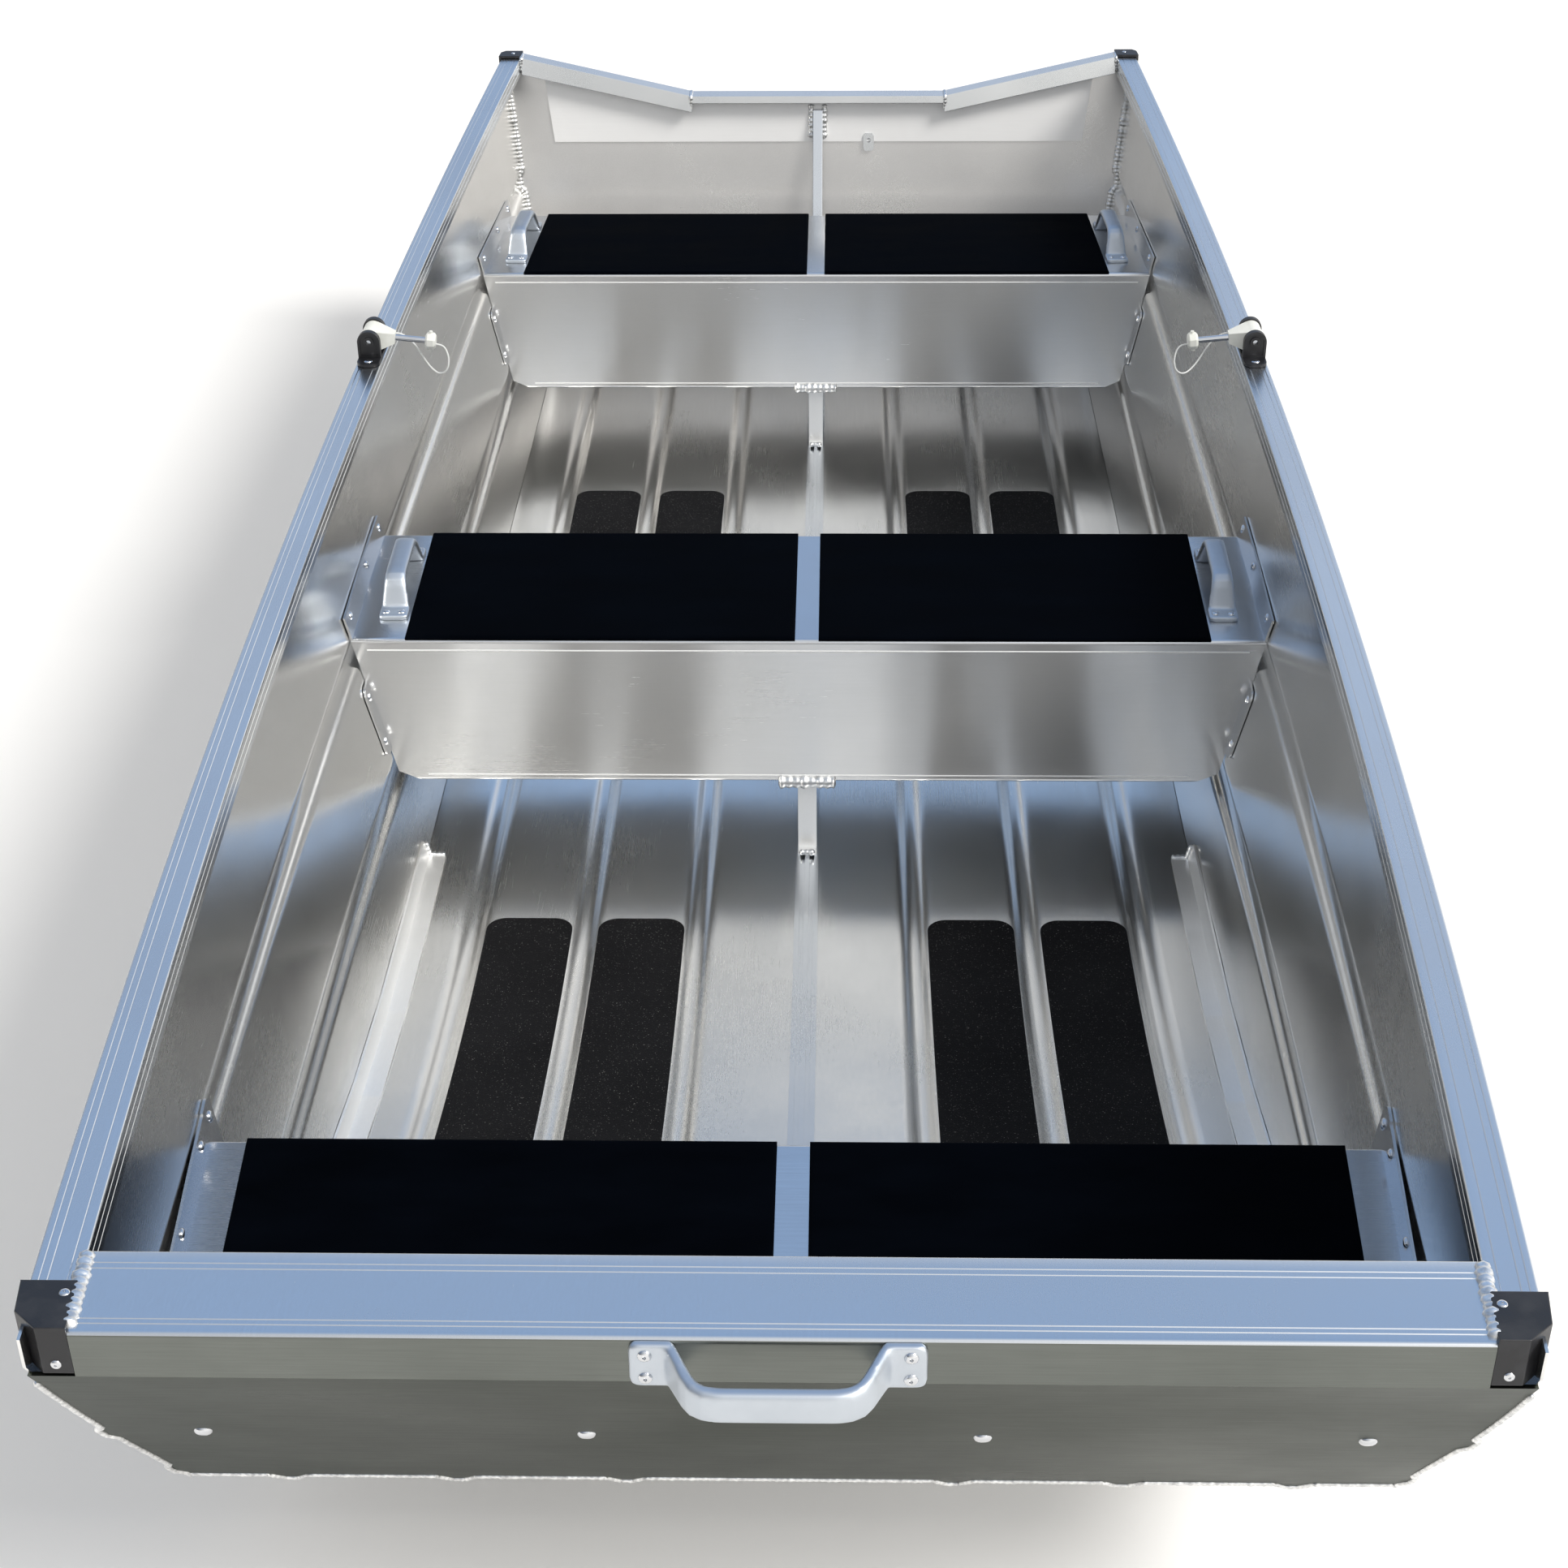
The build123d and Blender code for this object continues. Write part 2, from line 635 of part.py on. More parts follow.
def upstand_depth():
    """How far the bow seat's upstand reaches aft of the bow plate, measured level."""
    slope = math.hypot(BOW_TOP[0] - BOW_FOOT[0], BOW_TOP[1] - BOW_FOOT[1]) / (BOW_TOP[1] - BOW_FOOT[1])
    return slope * (SEAT_SHEET + SEAT_END_GAP)


def bow_bench():
    """The bow seat: an upstand on the bow plate, a top, one aft face and tabs up the sides."""
    aft, z = NOSE_Y + BOW_SEAT_FROM_NOSE, BOW_SEAT_TOP
    behind = upstand_depth()
    fore, high = on_bow_plate(z) + behind, z + BOW_SEAT_UPSTAND
    under = bottom_height(aft, FLOOR) + SEAT_UNDER - FLOOR
    upstand = bent_sheet([(on_bow_plate(high) + behind, high), (fore, z), (fore + SEAT_FLANGE, z)],
                         side_x(fore, z) - SEAT_FLANGE)
    sheet = bent_sheet([(fore, z), (aft, z), (aft, under), (aft - SEAT_LIP, under)], BESIDE_ALL)
    middle = SEAT_SHEET / 2
    tabs = join(side_tab((fore, z - middle), (aft - middle, z + SEAT_FLANGE), []),
                face_tabs(aft - middle, aft + FACE_FLANGE, under))
    return join(sheet - face_bevels(aft, under), upstand, tabs) & cabin(SEAT_END_GAP)


def seat_pad(fore, aft, z, margin):
    """The starboard half of a bench's foam cover."""
    inner = PAD_CENTRE_GAP / 2
    return level([(inner, fore), (side_x(fore, z) - margin, fore), (side_x(aft, z) - margin, aft), (inner, aft)],
                 z, z + PAD)


def seat_post(y):
    """The channel that carries a bench's front edge on the keel strip."""
    low, high = FLOOR + KEEL_STRIP_HEIGHT, SEAT_UNDER
    half, back = POST_WIDTH / 2, y + POST_DEPTH
    outline = [(-half, y), (half, y), (half, back), (half - SHEET, back), (half - SHEET, y + SHEET),
               (SHEET - half, y + SHEET), (SHEET - half, back), (-half, back)]
    foot = level(rectangle((-half, y - POST_DEPTH), (half, back)), low, low + SHEET)
    return level(outline, low, high) + foot


# Handles
def handle():
    """The cast carrying handle, feet on z = 0, its grip along X."""
    half, high = HANDLE_LENGTH / 2, HANDLE_STAND
    grip, under = HANDLE_GRIP_LENGTH / 2, HANDLE_STAND - HANDLE_GRIP_THICK
    arm_foot = half - HANDLE_FOOT
    starboard = [(arm_foot - HANDLE_ARM_THICK, 0), (half, 0), (half, HANDLE_FOOT_THICK),
                 (arm_foot, HANDLE_FOOT_THICK), (grip, high)]
    outline = starboard + mirrored(starboard)[::-1]
    hollow = [(grip - HANDLE_ARM_THICK, under), (arm_foot - HANDLE_ARM_THICK, 0)]
    wide, narrow = HANDLE_FOOT_WIDTH / 2, HANDLE_GRIP_WIDTH / 2
    bar = across(outline, -wide, wide) - across(hollow + mirrored(hollow)[::-1], -wide, wide)
    bar = fillet(edges_near(bar, Axis.Y, [(grip, high), (-grip, high)]), HANDLE_OUTER_ROUND)
    bar = fillet(edges_near(bar, Axis.Y, [hollow[0], mirrored(hollow)[0]]), HANDLE_INNER_ROUND)
    plan = [(grip, -narrow), (arm_foot, -wide), (half, -wide), (half, wide), (arm_foot, wide), (grip, narrow)]
    return bar & level(plan + mirrored(plan)[::-1], 0, high)


def seat_handle(y_middle, z):
    """A handle that stands on a bench, in line with the hull's side, on starboard."""
    half = HANDLE_LENGTH / 2
    along = math.degrees(math.atan2(HANDLE_LENGTH, side_x(y_middle + half, z) - side_x(y_middle - half, z)))
    return Location((side_x(y_middle, z) - HANDLE_FROM_SIDE, y_middle, z), (0, 0, along)) * handle()


def bow_handle():
    z = rail_top(NOSE_Y) - NOSE_FACE / 2
    return Location((0, NOSE_Y, z), (90, 0, 0)) * handle()


# Transom pieces
def channel_ends():
    """Where the side channel's top starts by the lowered middle and ends by the gunwale, as (x, z)."""
    high = rail_top(STERN_Y) - SIDE_GAP
    return ((TRANSOM_DIP_WIDTH / 2, rail_top(STERN_Y) - TRANSOM_DIP),
            (rail_outside(STERN_Y) - RAIL_WIDTH - SIDE_GAP, high))


def channel_section(top, tall):
    """Half-open channel over the transom's edge: a level top and two legs in line with the plate."""
    under, foot = top - RAIL_WALL, top - tall
    wall = RAIL_WALL / math.cos(math.radians(TRANSOM_TILT))

    def at(forward, z):
        return behind_transom(z) + CHANNEL_PROUD - forward, z
    deep = TRANSOM_RAIL_DEPTH
    return [at(0, top), at(0, foot), at(wall, foot), at(wall, under),
            at(deep - wall, under), at(deep - wall, foot), at(deep, foot), at(deep, top)]


def transom_channels():
    """Centre and starboard lengths of the channel over the transom's upper edge."""
    (low_x, low), (high_x, high) = channel_ends()
    start = low_x + SIDE_GAP
    rise = (high - low) * (high_x - start) / (high_x - low_x)
    centre = run(face_lengthwise(channel_section(low, CENTRE_RAIL_HEIGHT), -low_x), (2 * low_x, 0, 0))
    profile = channel_section(high - rise, TRANSOM_RAIL_HEIGHT)
    side = run(face_lengthwise(profile, start), (high_x - start, rise * TRANSOM_SLOPE, rise))
    return centre, side


def transom_doubler():
    """The board against the transom's inner face, its upper edge inside the channels."""
    (low_x, middle), (high_x, outer) = channel_ends()
    low = middle - DOUBLER_BELOW_RAIL
    high = middle - CENTRE_RAIL_HEIGHT + DOUBLER_TUCK
    slope = (outer - middle) / (high_x - low_x)
    foot_x, corner_x = (side_x(STERN_Y, z) - DOUBLER_MARGIN for z in (low, outer))
    corner = high + (corner_x - low_x) * slope
    section = [(on_transom(corner), corner), (on_transom(low), low), (on_transom(low) - PLATE, low),
               (on_transom(corner) - PLATE, corner)]
    outline = [(foot_x, low), (corner_x, corner), (low_x, high)]
    front = across(outline + mirrored(outline)[::-1], MIDDLE_Y, STERN_Y)
    return lengthwise(section, -BESIDE_ALL, BESIDE_ALL) & front


def transom_brace():
    """The bar from the doubler's middle down to the keel strip."""
    high = channel_ends()[0][1] - TRANSOM_RAIL_HEIGHT - SIDE_GAP
    low = FLOOR + KEEL_STRIP_HEIGHT
    under = high - 2 * BRACE_THICK
    y_low = on_transom(low) - BRACE_REACH
    section = [(on_transom(high) - PLATE, high), (on_transom(under) - PLATE, under), (y_low, low),
               (y_low - BRACE_THICK, low), (on_transom(high) - PLATE - BRACE_THICK, high)]
    return lengthwise(section, -BRACE_WIDTH / 2, BRACE_WIDTH / 2)


# Corner caps
def cap_shell(ends, hollow_ends, depth):
    """A moulded cap round the end of the gunwale, open inboard and below."""
    def outside(y):
        out, top = rail_outside(y) + CAP_WALL, rail_top(y) + CAP_WALL
        return rectangle((rail_outside(y) - RAIL_WIDTH, rail_top(y) - depth), (out, top))

    def hollow(y):
        out, top = rail_outside(y) + SIDE_GAP, rail_top(y) + SIDE_GAP
        return rectangle((rail_outside(y) - RAIL_WIDTH - CUT_OVERRUN, rail_top(y) - depth - CUT_OVERRUN), (out, top))
    return ruled(outside, stations_between(*ends)) - ruled(hollow, stations_between(*hollow_ends))


def bow_cap():
    """The bow cap: a solid nose with its outer corner cut off in plan, and undercut below."""
    fore, aft = NOSE_Y, NOSE_Y + BOW_CAP_LENGTH
    shell = cap_shell((fore, aft), (RAIL_FORE_Y - SIDE_GAP, aft + CUT_OVERRUN), BOW_CAP_DEPTH)
    out, cut = rail_outside(aft) + CAP_WALL, BOW_CAP_CHAMFER
    nose_out = rail_outside(fore) + CAP_WALL
    plan = [(0, fore), (nose_out - cut, fore), (nose_out, fore + cut), (out, aft), (0, aft)]
    under, rise = rail_top(fore) - BOW_CAP_DEPTH, BOW_CAP_UNDERCUT
    below = under - BOW_CAP_DEPTH
    front = [(0, below), (out - rise - BOW_CAP_DEPTH, below), (out + BOW_CAP_DEPTH, under + rise + BOW_CAP_DEPTH),
             (out + BOW_CAP_DEPTH, ABOVE_ALL), (0, ABOVE_ALL)]
    return shell & level(plan, 0, ABOVE_ALL) & across(front, fore, aft)


def stern_cap():
    fore, aft = STERN_Y - STERN_CAP_LENGTH, STERN_Y
    shell = cap_shell((fore, aft), (fore - CUT_OVERRUN, aft - CAP_WALL), RAIL_LEG)
    out, cut = rail_outside(fore) + CAP_WALL, STERN_CAP_CHAMFER
    stern_out = rail_outside(aft) + CAP_WALL
    plan = [(0, fore), (out, fore), (stern_out, aft - cut), (stern_out - cut, aft), (0, aft)]
    return shell & level(plan, 0, ABOVE_ALL)


# Oarlocks
OARLOCK_Y = NOSE_Y + OARLOCK_FROM_NOSE
HINGE_X = rail_outside(OARLOCK_Y) - RAIL_WIDTH / 2
EAR_INNER = BLOCK_WIDTH / 2 + BLOCK_GAP
EAR_OUTER = EAR_INNER + EAR_THICK
BASE_REACH = EAR_OUTER + BASE_FOOT
RAIL_UNDER_BASE = max(rail_top(OARLOCK_Y - BASE_REACH), rail_top(OARLOCK_Y + BASE_REACH))
HINGE_Z = RAIL_UNDER_BASE + HINGE_HEIGHT
HINGE = Axis((HINGE_X, OARLOCK_Y, HINGE_Z), (0, 1, 0))


def round_bar(x, y, z, direction, radius, length):
    return Solid.make_cylinder(radius, length, Plane(origin=(x, y, z), z_dir=direction))


def hinge_bar(y_from, y_to, radius):
    """A round bar on the hinge's axis."""
    return round_bar(HINGE_X, y_from, HINGE_Z, (0, 1, 0), radius, y_to - y_from)


def folded(piece):
    """The oarlock's moving piece, turned down from level to where it rests."""
    return piece.rotate(HINGE, -PIN_DROOP)


def fore_ear():
    """The fore ear: rounded on top, its outer face sunk inside a rim and round the hinge's boss."""
    outer, inner = OARLOCK_Y - EAR_OUTER, OARLOCK_Y - EAR_INNER
    left, right = HINGE_X - EAR_RADIUS, HINGE_X + EAR_RADIUS
    ear = join(across(rectangle((left, RAIL_UNDER_BASE), (right, HINGE_Z)), outer, inner),
               hinge_bar(outer, inner, EAR_RADIUS))
    sunk_foot = RAIL_UNDER_BASE + BASE_PLATE + EAR_RIM
    sunk = join(across(rectangle((left + EAR_RIM, sunk_foot), (right - EAR_RIM, HINGE_Z)), outer, outer + EAR_RECESS),
                hinge_bar(outer, outer + EAR_RECESS, EAR_RADIUS - EAR_RIM))
    return ear - (sunk - hinge_bar(outer, outer + EAR_RECESS, BOSS_RADIUS))


def oarlock_base():
    """Two rounded ears on a plate that is bolted to the gunwale."""
    plate = level(rectangle((HINGE_X - EAR_RADIUS, OARLOCK_Y - BASE_REACH),
                            (HINGE_X + EAR_RADIUS, OARLOCK_Y + BASE_REACH)), RAIL_UNDER_BASE,
                  RAIL_UNDER_BASE + BASE_PLATE)
    plate = fillet(plate.edges().filter_by(Axis.Z), BASE_CORNER)
    ear = fore_ear()
    aft_ear = mirror(ear, about=Plane(origin=(0, OARLOCK_Y, 0), z_dir=(0, 1, 0)))
    bore = hinge_bar(OARLOCK_Y - EAR_OUTER - CUT_OVERRUN, OARLOCK_Y + EAR_OUTER + CUT_OVERRUN,
                     HINGE_RADIUS + HINGE_CLEARANCE)
    return join(plate, ear, aft_ear) - bore


def oarlock_hinge():
    reach = EAR_OUTER - HINGE_INSET
    return hinge_bar(OARLOCK_Y - reach, OARLOCK_Y + reach, HINGE_RADIUS)


def oarlock_block():
    """The white moulded block between the ears: a barrel that narrows inboard, hooked below."""
    tip = HINGE_X - BLOCK_REACH
    half = BLOCK_WIDTH / 2
    high, low = HINGE_Z + BLOCK_TIP / 2, HINGE_Z - BLOCK_TIP / 2
    arm = across([(HINGE_X, HINGE_Z + BLOCK_RADIUS), (tip, high), (tip, low),
                  (tip + BLOCK_HOOK, low - BLOCK_HOOK_DROP), (HINGE_X, HINGE_Z - BLOCK_RADIUS)],
                 OARLOCK_Y - half, OARLOCK_Y + half)
    barrel = hinge_bar(OARLOCK_Y - half, OARLOCK_Y + half, BLOCK_RADIUS)
    starboard = [(tip, BLOCK_TIP / 2), (HINGE_X - BLOCK_RADIUS / 2, half), (HINGE_X + BLOCK_RADIUS, half)]
    plan = [(x, OARLOCK_Y + y) for x, y in starboard] + [(x, OARLOCK_Y - y) for x, y in starboard[::-1]]
    bore = hinge_bar(OARLOCK_Y - half - CUT_OVERRUN, OARLOCK_Y + half + CUT_OVERRUN,
                     HINGE_RADIUS + HINGE_CLEARANCE)
    return folded((join(arm, barrel) & level(plan, 0, ABOVE_ALL)) - bore)


def oarlock_pin():
    return folded(round_bar(HINGE_X - BLOCK_REACH, OARLOCK_Y, HINGE_Z, (-1, 0, 0), PIN_RADIUS, PIN_LENGTH))


def oarlock_knob():
    """The moulded knob on the pin's end, many-sided, with a stub above and below."""
    x = HINGE_X - BLOCK_REACH - PIN_LENGTH
    end = Plane(origin=(x, OARLOCK_Y, HINGE_Z), z_dir=(-1, 0, 0), x_dir=(0, 1, 0))
    turn = 180.0 / KNOB_SIDES
    outline = end * Rot(0, 0, turn) * RegularPolygon(KNOB_RADIUS, KNOB_SIDES)
    knob = extrude(outline, KNOB_LENGTH)
    knob = chamfer(knob.edges().group_by(Axis.X)[0] + knob.edges().group_by(Axis.X)[-1], KNOB_EDGE)
    reach = KNOB_RADIUS + KNOB_STUB
    stub = extrude(Plane(origin=(x - KNOB_LENGTH / 2, OARLOCK_Y, HINGE_Z - reach))
                   * RegularPolygon(KNOB_STUB_RADIUS, KNOB_SIDES), 2 * reach)
    return folded(knob + stub)


def tether_points():
    """The slack cord from the block's aft side, round under the pin, to the knob's end."""
    taper = math.atan2((BLOCK_WIDTH - BLOCK_TIP) / 2, BLOCK_REACH - BLOCK_RADIUS / 2)
    start = (TETHER_FROM_TIP, BLOCK_TIP / 2 + TETHER_FROM_TIP * math.tan(taper), 0.0)
    second = (start[0] - TETHER_LEAD * math.sin(taper), start[1] + TETHER_LEAD * math.cos(taper), 0.0)
    knob_end = -PIN_LENGTH - KNOB_LENGTH
    route = [start, second, (-8, 19, -3), (-22, 17, -13), (-34, 10, -27), (-46, 2, -38), (-58, -5, -42),
             (-68, -8, -34), (-69, -6, -20), (-65, -3, -9), (knob_end - 8, -2, -3), (knob_end, -2, -3)]
    tip = HINGE_X - BLOCK_REACH
    return [Vector(tip + x, OARLOCK_Y + y, HINGE_Z + z) for x, y, z in route]


def corner_radii(points):
    """The largest arc at each corner that its two runs leave room for."""
    radii = []
    for before, here, after in zip(points, points[1:], points[2:]):
        turn = math.radians((here - before).get_angle(after - here))
        radii.append(TETHER_ARC_SHARE * min((here - before).length, (after - here).length) / math.tan(turn / 2))
    return radii


def tether():
    points = tether_points()
    radii = corner_radii(points)
    print("tether radii", [round(radius, 1) for radius in radii])
    path = FilletPolyline(*points, radius=radii)
    section = Plane(origin=points[0], z_dir=points[1] - points[0]) * RegularPolygon(TETHER_RADIUS, TETHER_SIDES)
    cord = sweep(section, path=path)
    print("tether length", round(path.length, 1), "volume over section times length",
          round(cord.volume / (section.area * path.length), 4))
    return folded(cord)


TRIM = end_trim()
NODES = {}


def add_pair(name, piece):
    NODES[name + "_right"] = piece
    NODES[name + "_left"] = to_port(piece)


def build():
    NODES["hull_bottom"] = hull_bottom()
    add_pair("hull_side", hull_side())
    add_pair("gunwale", gunwale())
    NODES["bow_plate"] = bow_plate()
    NODES["transom_plate"] = transom_plate()
    NODES["bow_deck"] = bow_deck()
    add_pair("chine_strip", chine_strip())
    NODES["keel_strip"] = Compound(children=keel_strip())

    bow_aft = NOSE_Y + BOW_SEAT_FROM_NOSE
    mid_fore = NOSE_Y + MID_SEAT_FROM_NOSE
    stern_fore = STERN_Y - STERN_SEAT_FROM_STERN
    NODES["bow_bay_grit_strips"] = Compound(
        children=grit_strips(bow_aft - GRIT_UNDER_SEAT, NOSE_Y + BOW_GRIT_AFT_FROM_NOSE))
    NODES["mid_bay_grit_strips"] = Compound(
        children=grit_strips(mid_fore + SEAT_DEPTH - GRIT_UNDER_SEAT, NOSE_Y + MID_GRIT_AFT_FROM_NOSE))

    NODES["bow_seat"] = bow_bench()
    bow_fore = on_bow_plate(BOW_SEAT_TOP) + upstand_depth() + SEAT_BEND
    add_pair("bow_seat_pad", seat_pad(bow_fore, bow_aft, BOW_SEAT_TOP, BOW_PAD_MARGIN))
    for name, fore in (("mid", mid_fore), ("stern", stern_fore)):
        NODES[name + "_seat"] = bench(fore, fore + SEAT_DEPTH)
        add_pair(name + "_seat_pad", seat_pad(fore, fore + SEAT_DEPTH, SEAT_TOP, PAD_MARGIN))
        add_pair(name + "_seat_handle", seat_handle(fore + SEAT_DEPTH / 2, SEAT_TOP))
        NODES[name + "_seat_post"] = seat_post(fore)
    NODES["bow_handle"] = bow_handle()

    centre, side = transom_channels()
    NODES["transom_rail_centre"] = centre
    add_pair("transom_rail", side)
    NODES["transom_doubler"] = transom_doubler()
    NODES["transom_brace"] = transom_brace()
    add_pair("bow_cap", bow_cap())
    add_pair("stern_cap", stern_cap())

    add_pair("oarlock_base", oarlock_base())
    add_pair("oarlock_hinge", oarlock_hinge())
    add_pair("oarlock_block", oarlock_block())
    add_pair("oarlock_pin", oarlock_pin())
    add_pair("oarlock_knob", oarlock_knob())
    add_pair("oarlock_tether", tether())


build()
os.makedirs("parts", exist_ok=True)
for node, shape in NODES.items():
    export_step(shape, "parts/" + node + ".step")
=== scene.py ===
import json
import math
import random

import bmesh
import bpy
from mathutils import Matrix, Vector


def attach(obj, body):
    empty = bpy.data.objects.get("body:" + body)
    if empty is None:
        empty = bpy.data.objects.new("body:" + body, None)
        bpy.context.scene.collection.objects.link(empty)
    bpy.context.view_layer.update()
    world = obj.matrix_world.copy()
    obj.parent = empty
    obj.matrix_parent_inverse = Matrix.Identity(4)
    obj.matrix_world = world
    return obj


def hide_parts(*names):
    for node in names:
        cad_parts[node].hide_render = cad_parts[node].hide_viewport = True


# Looks of the jon boat: +X is starboard, +Y aft, +Z up. Shapes are worked out in
# millimetres, as in the frame, and become metres when a piece is made.
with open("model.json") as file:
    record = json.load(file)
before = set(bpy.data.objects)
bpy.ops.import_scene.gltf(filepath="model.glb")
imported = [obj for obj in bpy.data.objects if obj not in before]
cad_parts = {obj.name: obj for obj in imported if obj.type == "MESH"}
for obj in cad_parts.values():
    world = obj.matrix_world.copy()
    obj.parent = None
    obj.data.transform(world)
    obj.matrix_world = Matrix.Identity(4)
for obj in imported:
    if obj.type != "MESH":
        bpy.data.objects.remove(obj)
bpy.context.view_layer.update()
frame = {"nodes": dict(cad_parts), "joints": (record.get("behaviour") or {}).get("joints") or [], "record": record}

MILLIMETRE = 0.001
SIDES = (("right", 1.0), ("left", -1.0))
SEED = 7

# Camera, fitted to the photograph's 1932 pixel frame
PHOTO_PIXELS = 1932
FOCAL_PIXELS = 3049.4
SENSOR = 36.0
CAMERA_PLACE = Vector((0.0331, -2.5834, 1.6585))
CAMERA_YAW = -0.0244
CAMERA_PITCH = 0.5585
CAMERA_ROLL = 0.0093

# Light levels
AMBIENT = 0.66
KEY_STRENGTH = 2.6
KEY_FROM = Vector((0.64, -0.32, 0.70))
KEY_ANGLE = math.radians(20)
KEY_COLOUR = (1.0, 0.97, 0.92)
WHITE = (1.0, 1.0, 1.0, 1.0)
HORIZON_TO_PORT, HORIZON_TO_STARBOARD = (0.20, 0.196, 0.188), (1.50, 1.45, 1.35)
HIGH_SKY_AFT = (0.30, 0.44, 0.68)
FLOOR_REACH = 60.0
FLOOR_COLOUR = (0.95, 0.95, 0.95, 1.0)

# Hull, in millimetres like all that follows unless it says otherwise
NOSE_Y, STERN_Y = -1504.0, 1546.0
MIDDLE_Y = (NOSE_Y + STERN_Y) / 2
BEAMS = (922.0, 1130.0, 1046.0)
HEIGHTS = (592.0, 472.0, 510.0)
HALF_BOTTOM = 457.0
SHEET, PLATE = 2.0, 3.0
RAKE_Y, RAKE_RADIUS = -266.0, 2559.0
BOW_FOOT_Y = -1259.0
NOSE_FACE = 36.0
TRANSOM_TILT = math.radians(12)
TRANSOM_DIP = 60.0
DIP_HALF_WIDTH = 210.0
GROOVES = (124.5, 253.5, 382.5)
GROOVE_DEPTH, GROOVE_TOP, GROOVE_FLOOR = 8.0, 31.0, 10.0
FLOOR = GROOVE_DEPTH + SHEET
SIDE_GROOVES = (200.0, 362.0)
SIDE_GROOVE_DEPTH, SIDE_GROOVE_TOP, SIDE_GROOVE_FLOOR = 6.0, 34.0, 18.0
SIDE_GROOVE_ABOVE_CHINE = 8.0
SHEET_BEND = 7.0
# How far the sheets are drawn past the ends, where they are then cut off
BEYOND_FOOT, BEYOND_ENDS = 80.0, 4
RAKE_ROWS, FLAT_ROWS, SIDE_ROWS = 30, 10, 48
# The gap where a bead joins two pieces
WELD_GAP = 0.3
# How far past its end an edge is searched
PAST_END, PAST_RAKE = 60, 1400

# Gunwales and bow deck
RAIL_WIDTH, RAIL_LEG, RAIL_WALL, RAIL_TUCK = 32.0, 25.0, 2.5, 8.0
RAIL_FORE_Y, RAIL_AFT_Y = NOSE_Y + 19.3, STERN_Y - 4.3
RAIL_EDGE = 2.2
RAIL_LINES = (6.0, 11.5, 24.0)
LIP_LINES = (8.0, 17.0)
LINE_WIDTH, LINE_DEPTH = 1.2, 0.5
DECK_DEPTH, DECK_WALL, DECK_LIP, DECK_EDGE, DECK_BACK_EDGE = 84.0, 3.0, 14.0, 5.0, 1.5
DECK_LINES = (10.0, 15.0, 66.0, 72.0)

# Seats, grit and keel
SEAT_DEPTH, SEAT_TOP, BOW_SEAT_TOP, SEAT_UNDER = 272.0, 300.0, 331.0, 110.0
BOW_SEAT_AFT = NOSE_Y + 488.0
SEAT_FORE = {"mid": NOSE_Y + 1403.0, "stern": STERN_Y - 468.0}
TAB_PROUD = 3.0
PAD, PAD_MARGIN, BOW_PAD_MARGIN, PAD_CENTRE_GAP = 3.0, 64.0, 33.0, 27.0
BOW_PAD_FORE = 9.0
PAD_ROUNDING, PAD_EDGE = 3.5, (0.0, 0.7, 1.8, 3.5, 6.0)
PAD_COLUMNS, PAD_ROWS = 20, 12
# The slow waves in a pad's top: their height, and two lengths each way
PAD_UNEVEN, WAVES_ACROSS, WAVES_BACK = 0.12, (37, 83), (29, 61)
GRIT_WIDTH, GRIT_TOP, GRIT_SUNK, GRIT_CORNER = 99.0, 0.9, 0.3, 22.0
GRIT_ROWS, GRIT_CORNER_ROWS = 24, 7
GRIT_MIDDLES = (189.0, 318.0)
GRIT_ENDS = (("bow_bay_grit_strips", BOW_SEAT_AFT - 60.0, NOSE_Y + 1262.0),
             ("mid_bay_grit_strips", SEAT_FORE["mid"] + SEAT_DEPTH - 60.0, NOSE_Y + 2414.0))
CHINE_AFT_Y = NOSE_Y + 1390.0

# Handle
HANDLE_LENGTH, HANDLE_FOOT_THICK, HANDLE_FROM_SIDE = 180.0, 6.0, 45.0
FOOT_INNER, FOOT_HALF_WIDTH, FOOT_CORNER = 62.0, 17.0, 5.0
# The rounding of a foot's upper edge: below its top, and drawn in
FOOT_EDGE = ((2.2, 0.0), (0.7, 0.7), (0.0, 2.2))
# Half of the casting's middle line: outward, up, then its width and thickness there
HANDLE_LINE = (
    (66.0, 1.5, 33.0, 9.0), (63.5, 6.0, 32.5, 9.0), (60.6, 12.0, 31.0, 9.0), (57.2, 19.0, 29.0, 9.2),
    (54.0, 25.5, 27.2, 9.6), (50.0, 31.2, 25.6, 10.2), (43.5, 35.0, 24.6, 10.8), (35.0, 36.4, 24.0, 11.0),
    (20.0, 36.5, 24.0, 11.0), (0.0, 36.5, 24.0, 11.0))
# How square the arms' section is: 1 round, less squarer
HANDLE_SQUARENESS = 0.62
HANDLE_SIDES = 20
HANDLE_SCREWS = [(x, y) for x in (-80.0, 80.0) for y in (-9.0, 9.0)]
SCREW_SUNK = 0.3

# Fasteners' heads, radius and height
RIVET, BOLT, CAP_SCREW, HANDLE_SCREW = (5.4, 2.8), (6.6, 3.6), (3.6, 1.6), (4.6, 2.4)
OARLOCK_BOLT, HINGE_DOME = (5.6, 2.8), (6.5, 4.0)
HEAD_SIDES = 14
# A head's section from its foot to its top, as shares of radius and height, then its recess
HEAD_LINE = [(1.0, -0.2), (1.0, 0.12), (0.93, 0.42), (0.76, 0.74), (0.5, 0.94)]
HEAD_RECESS = [(0.34, 0.98), (0.26, 0.9), (0.18, 0.3)]
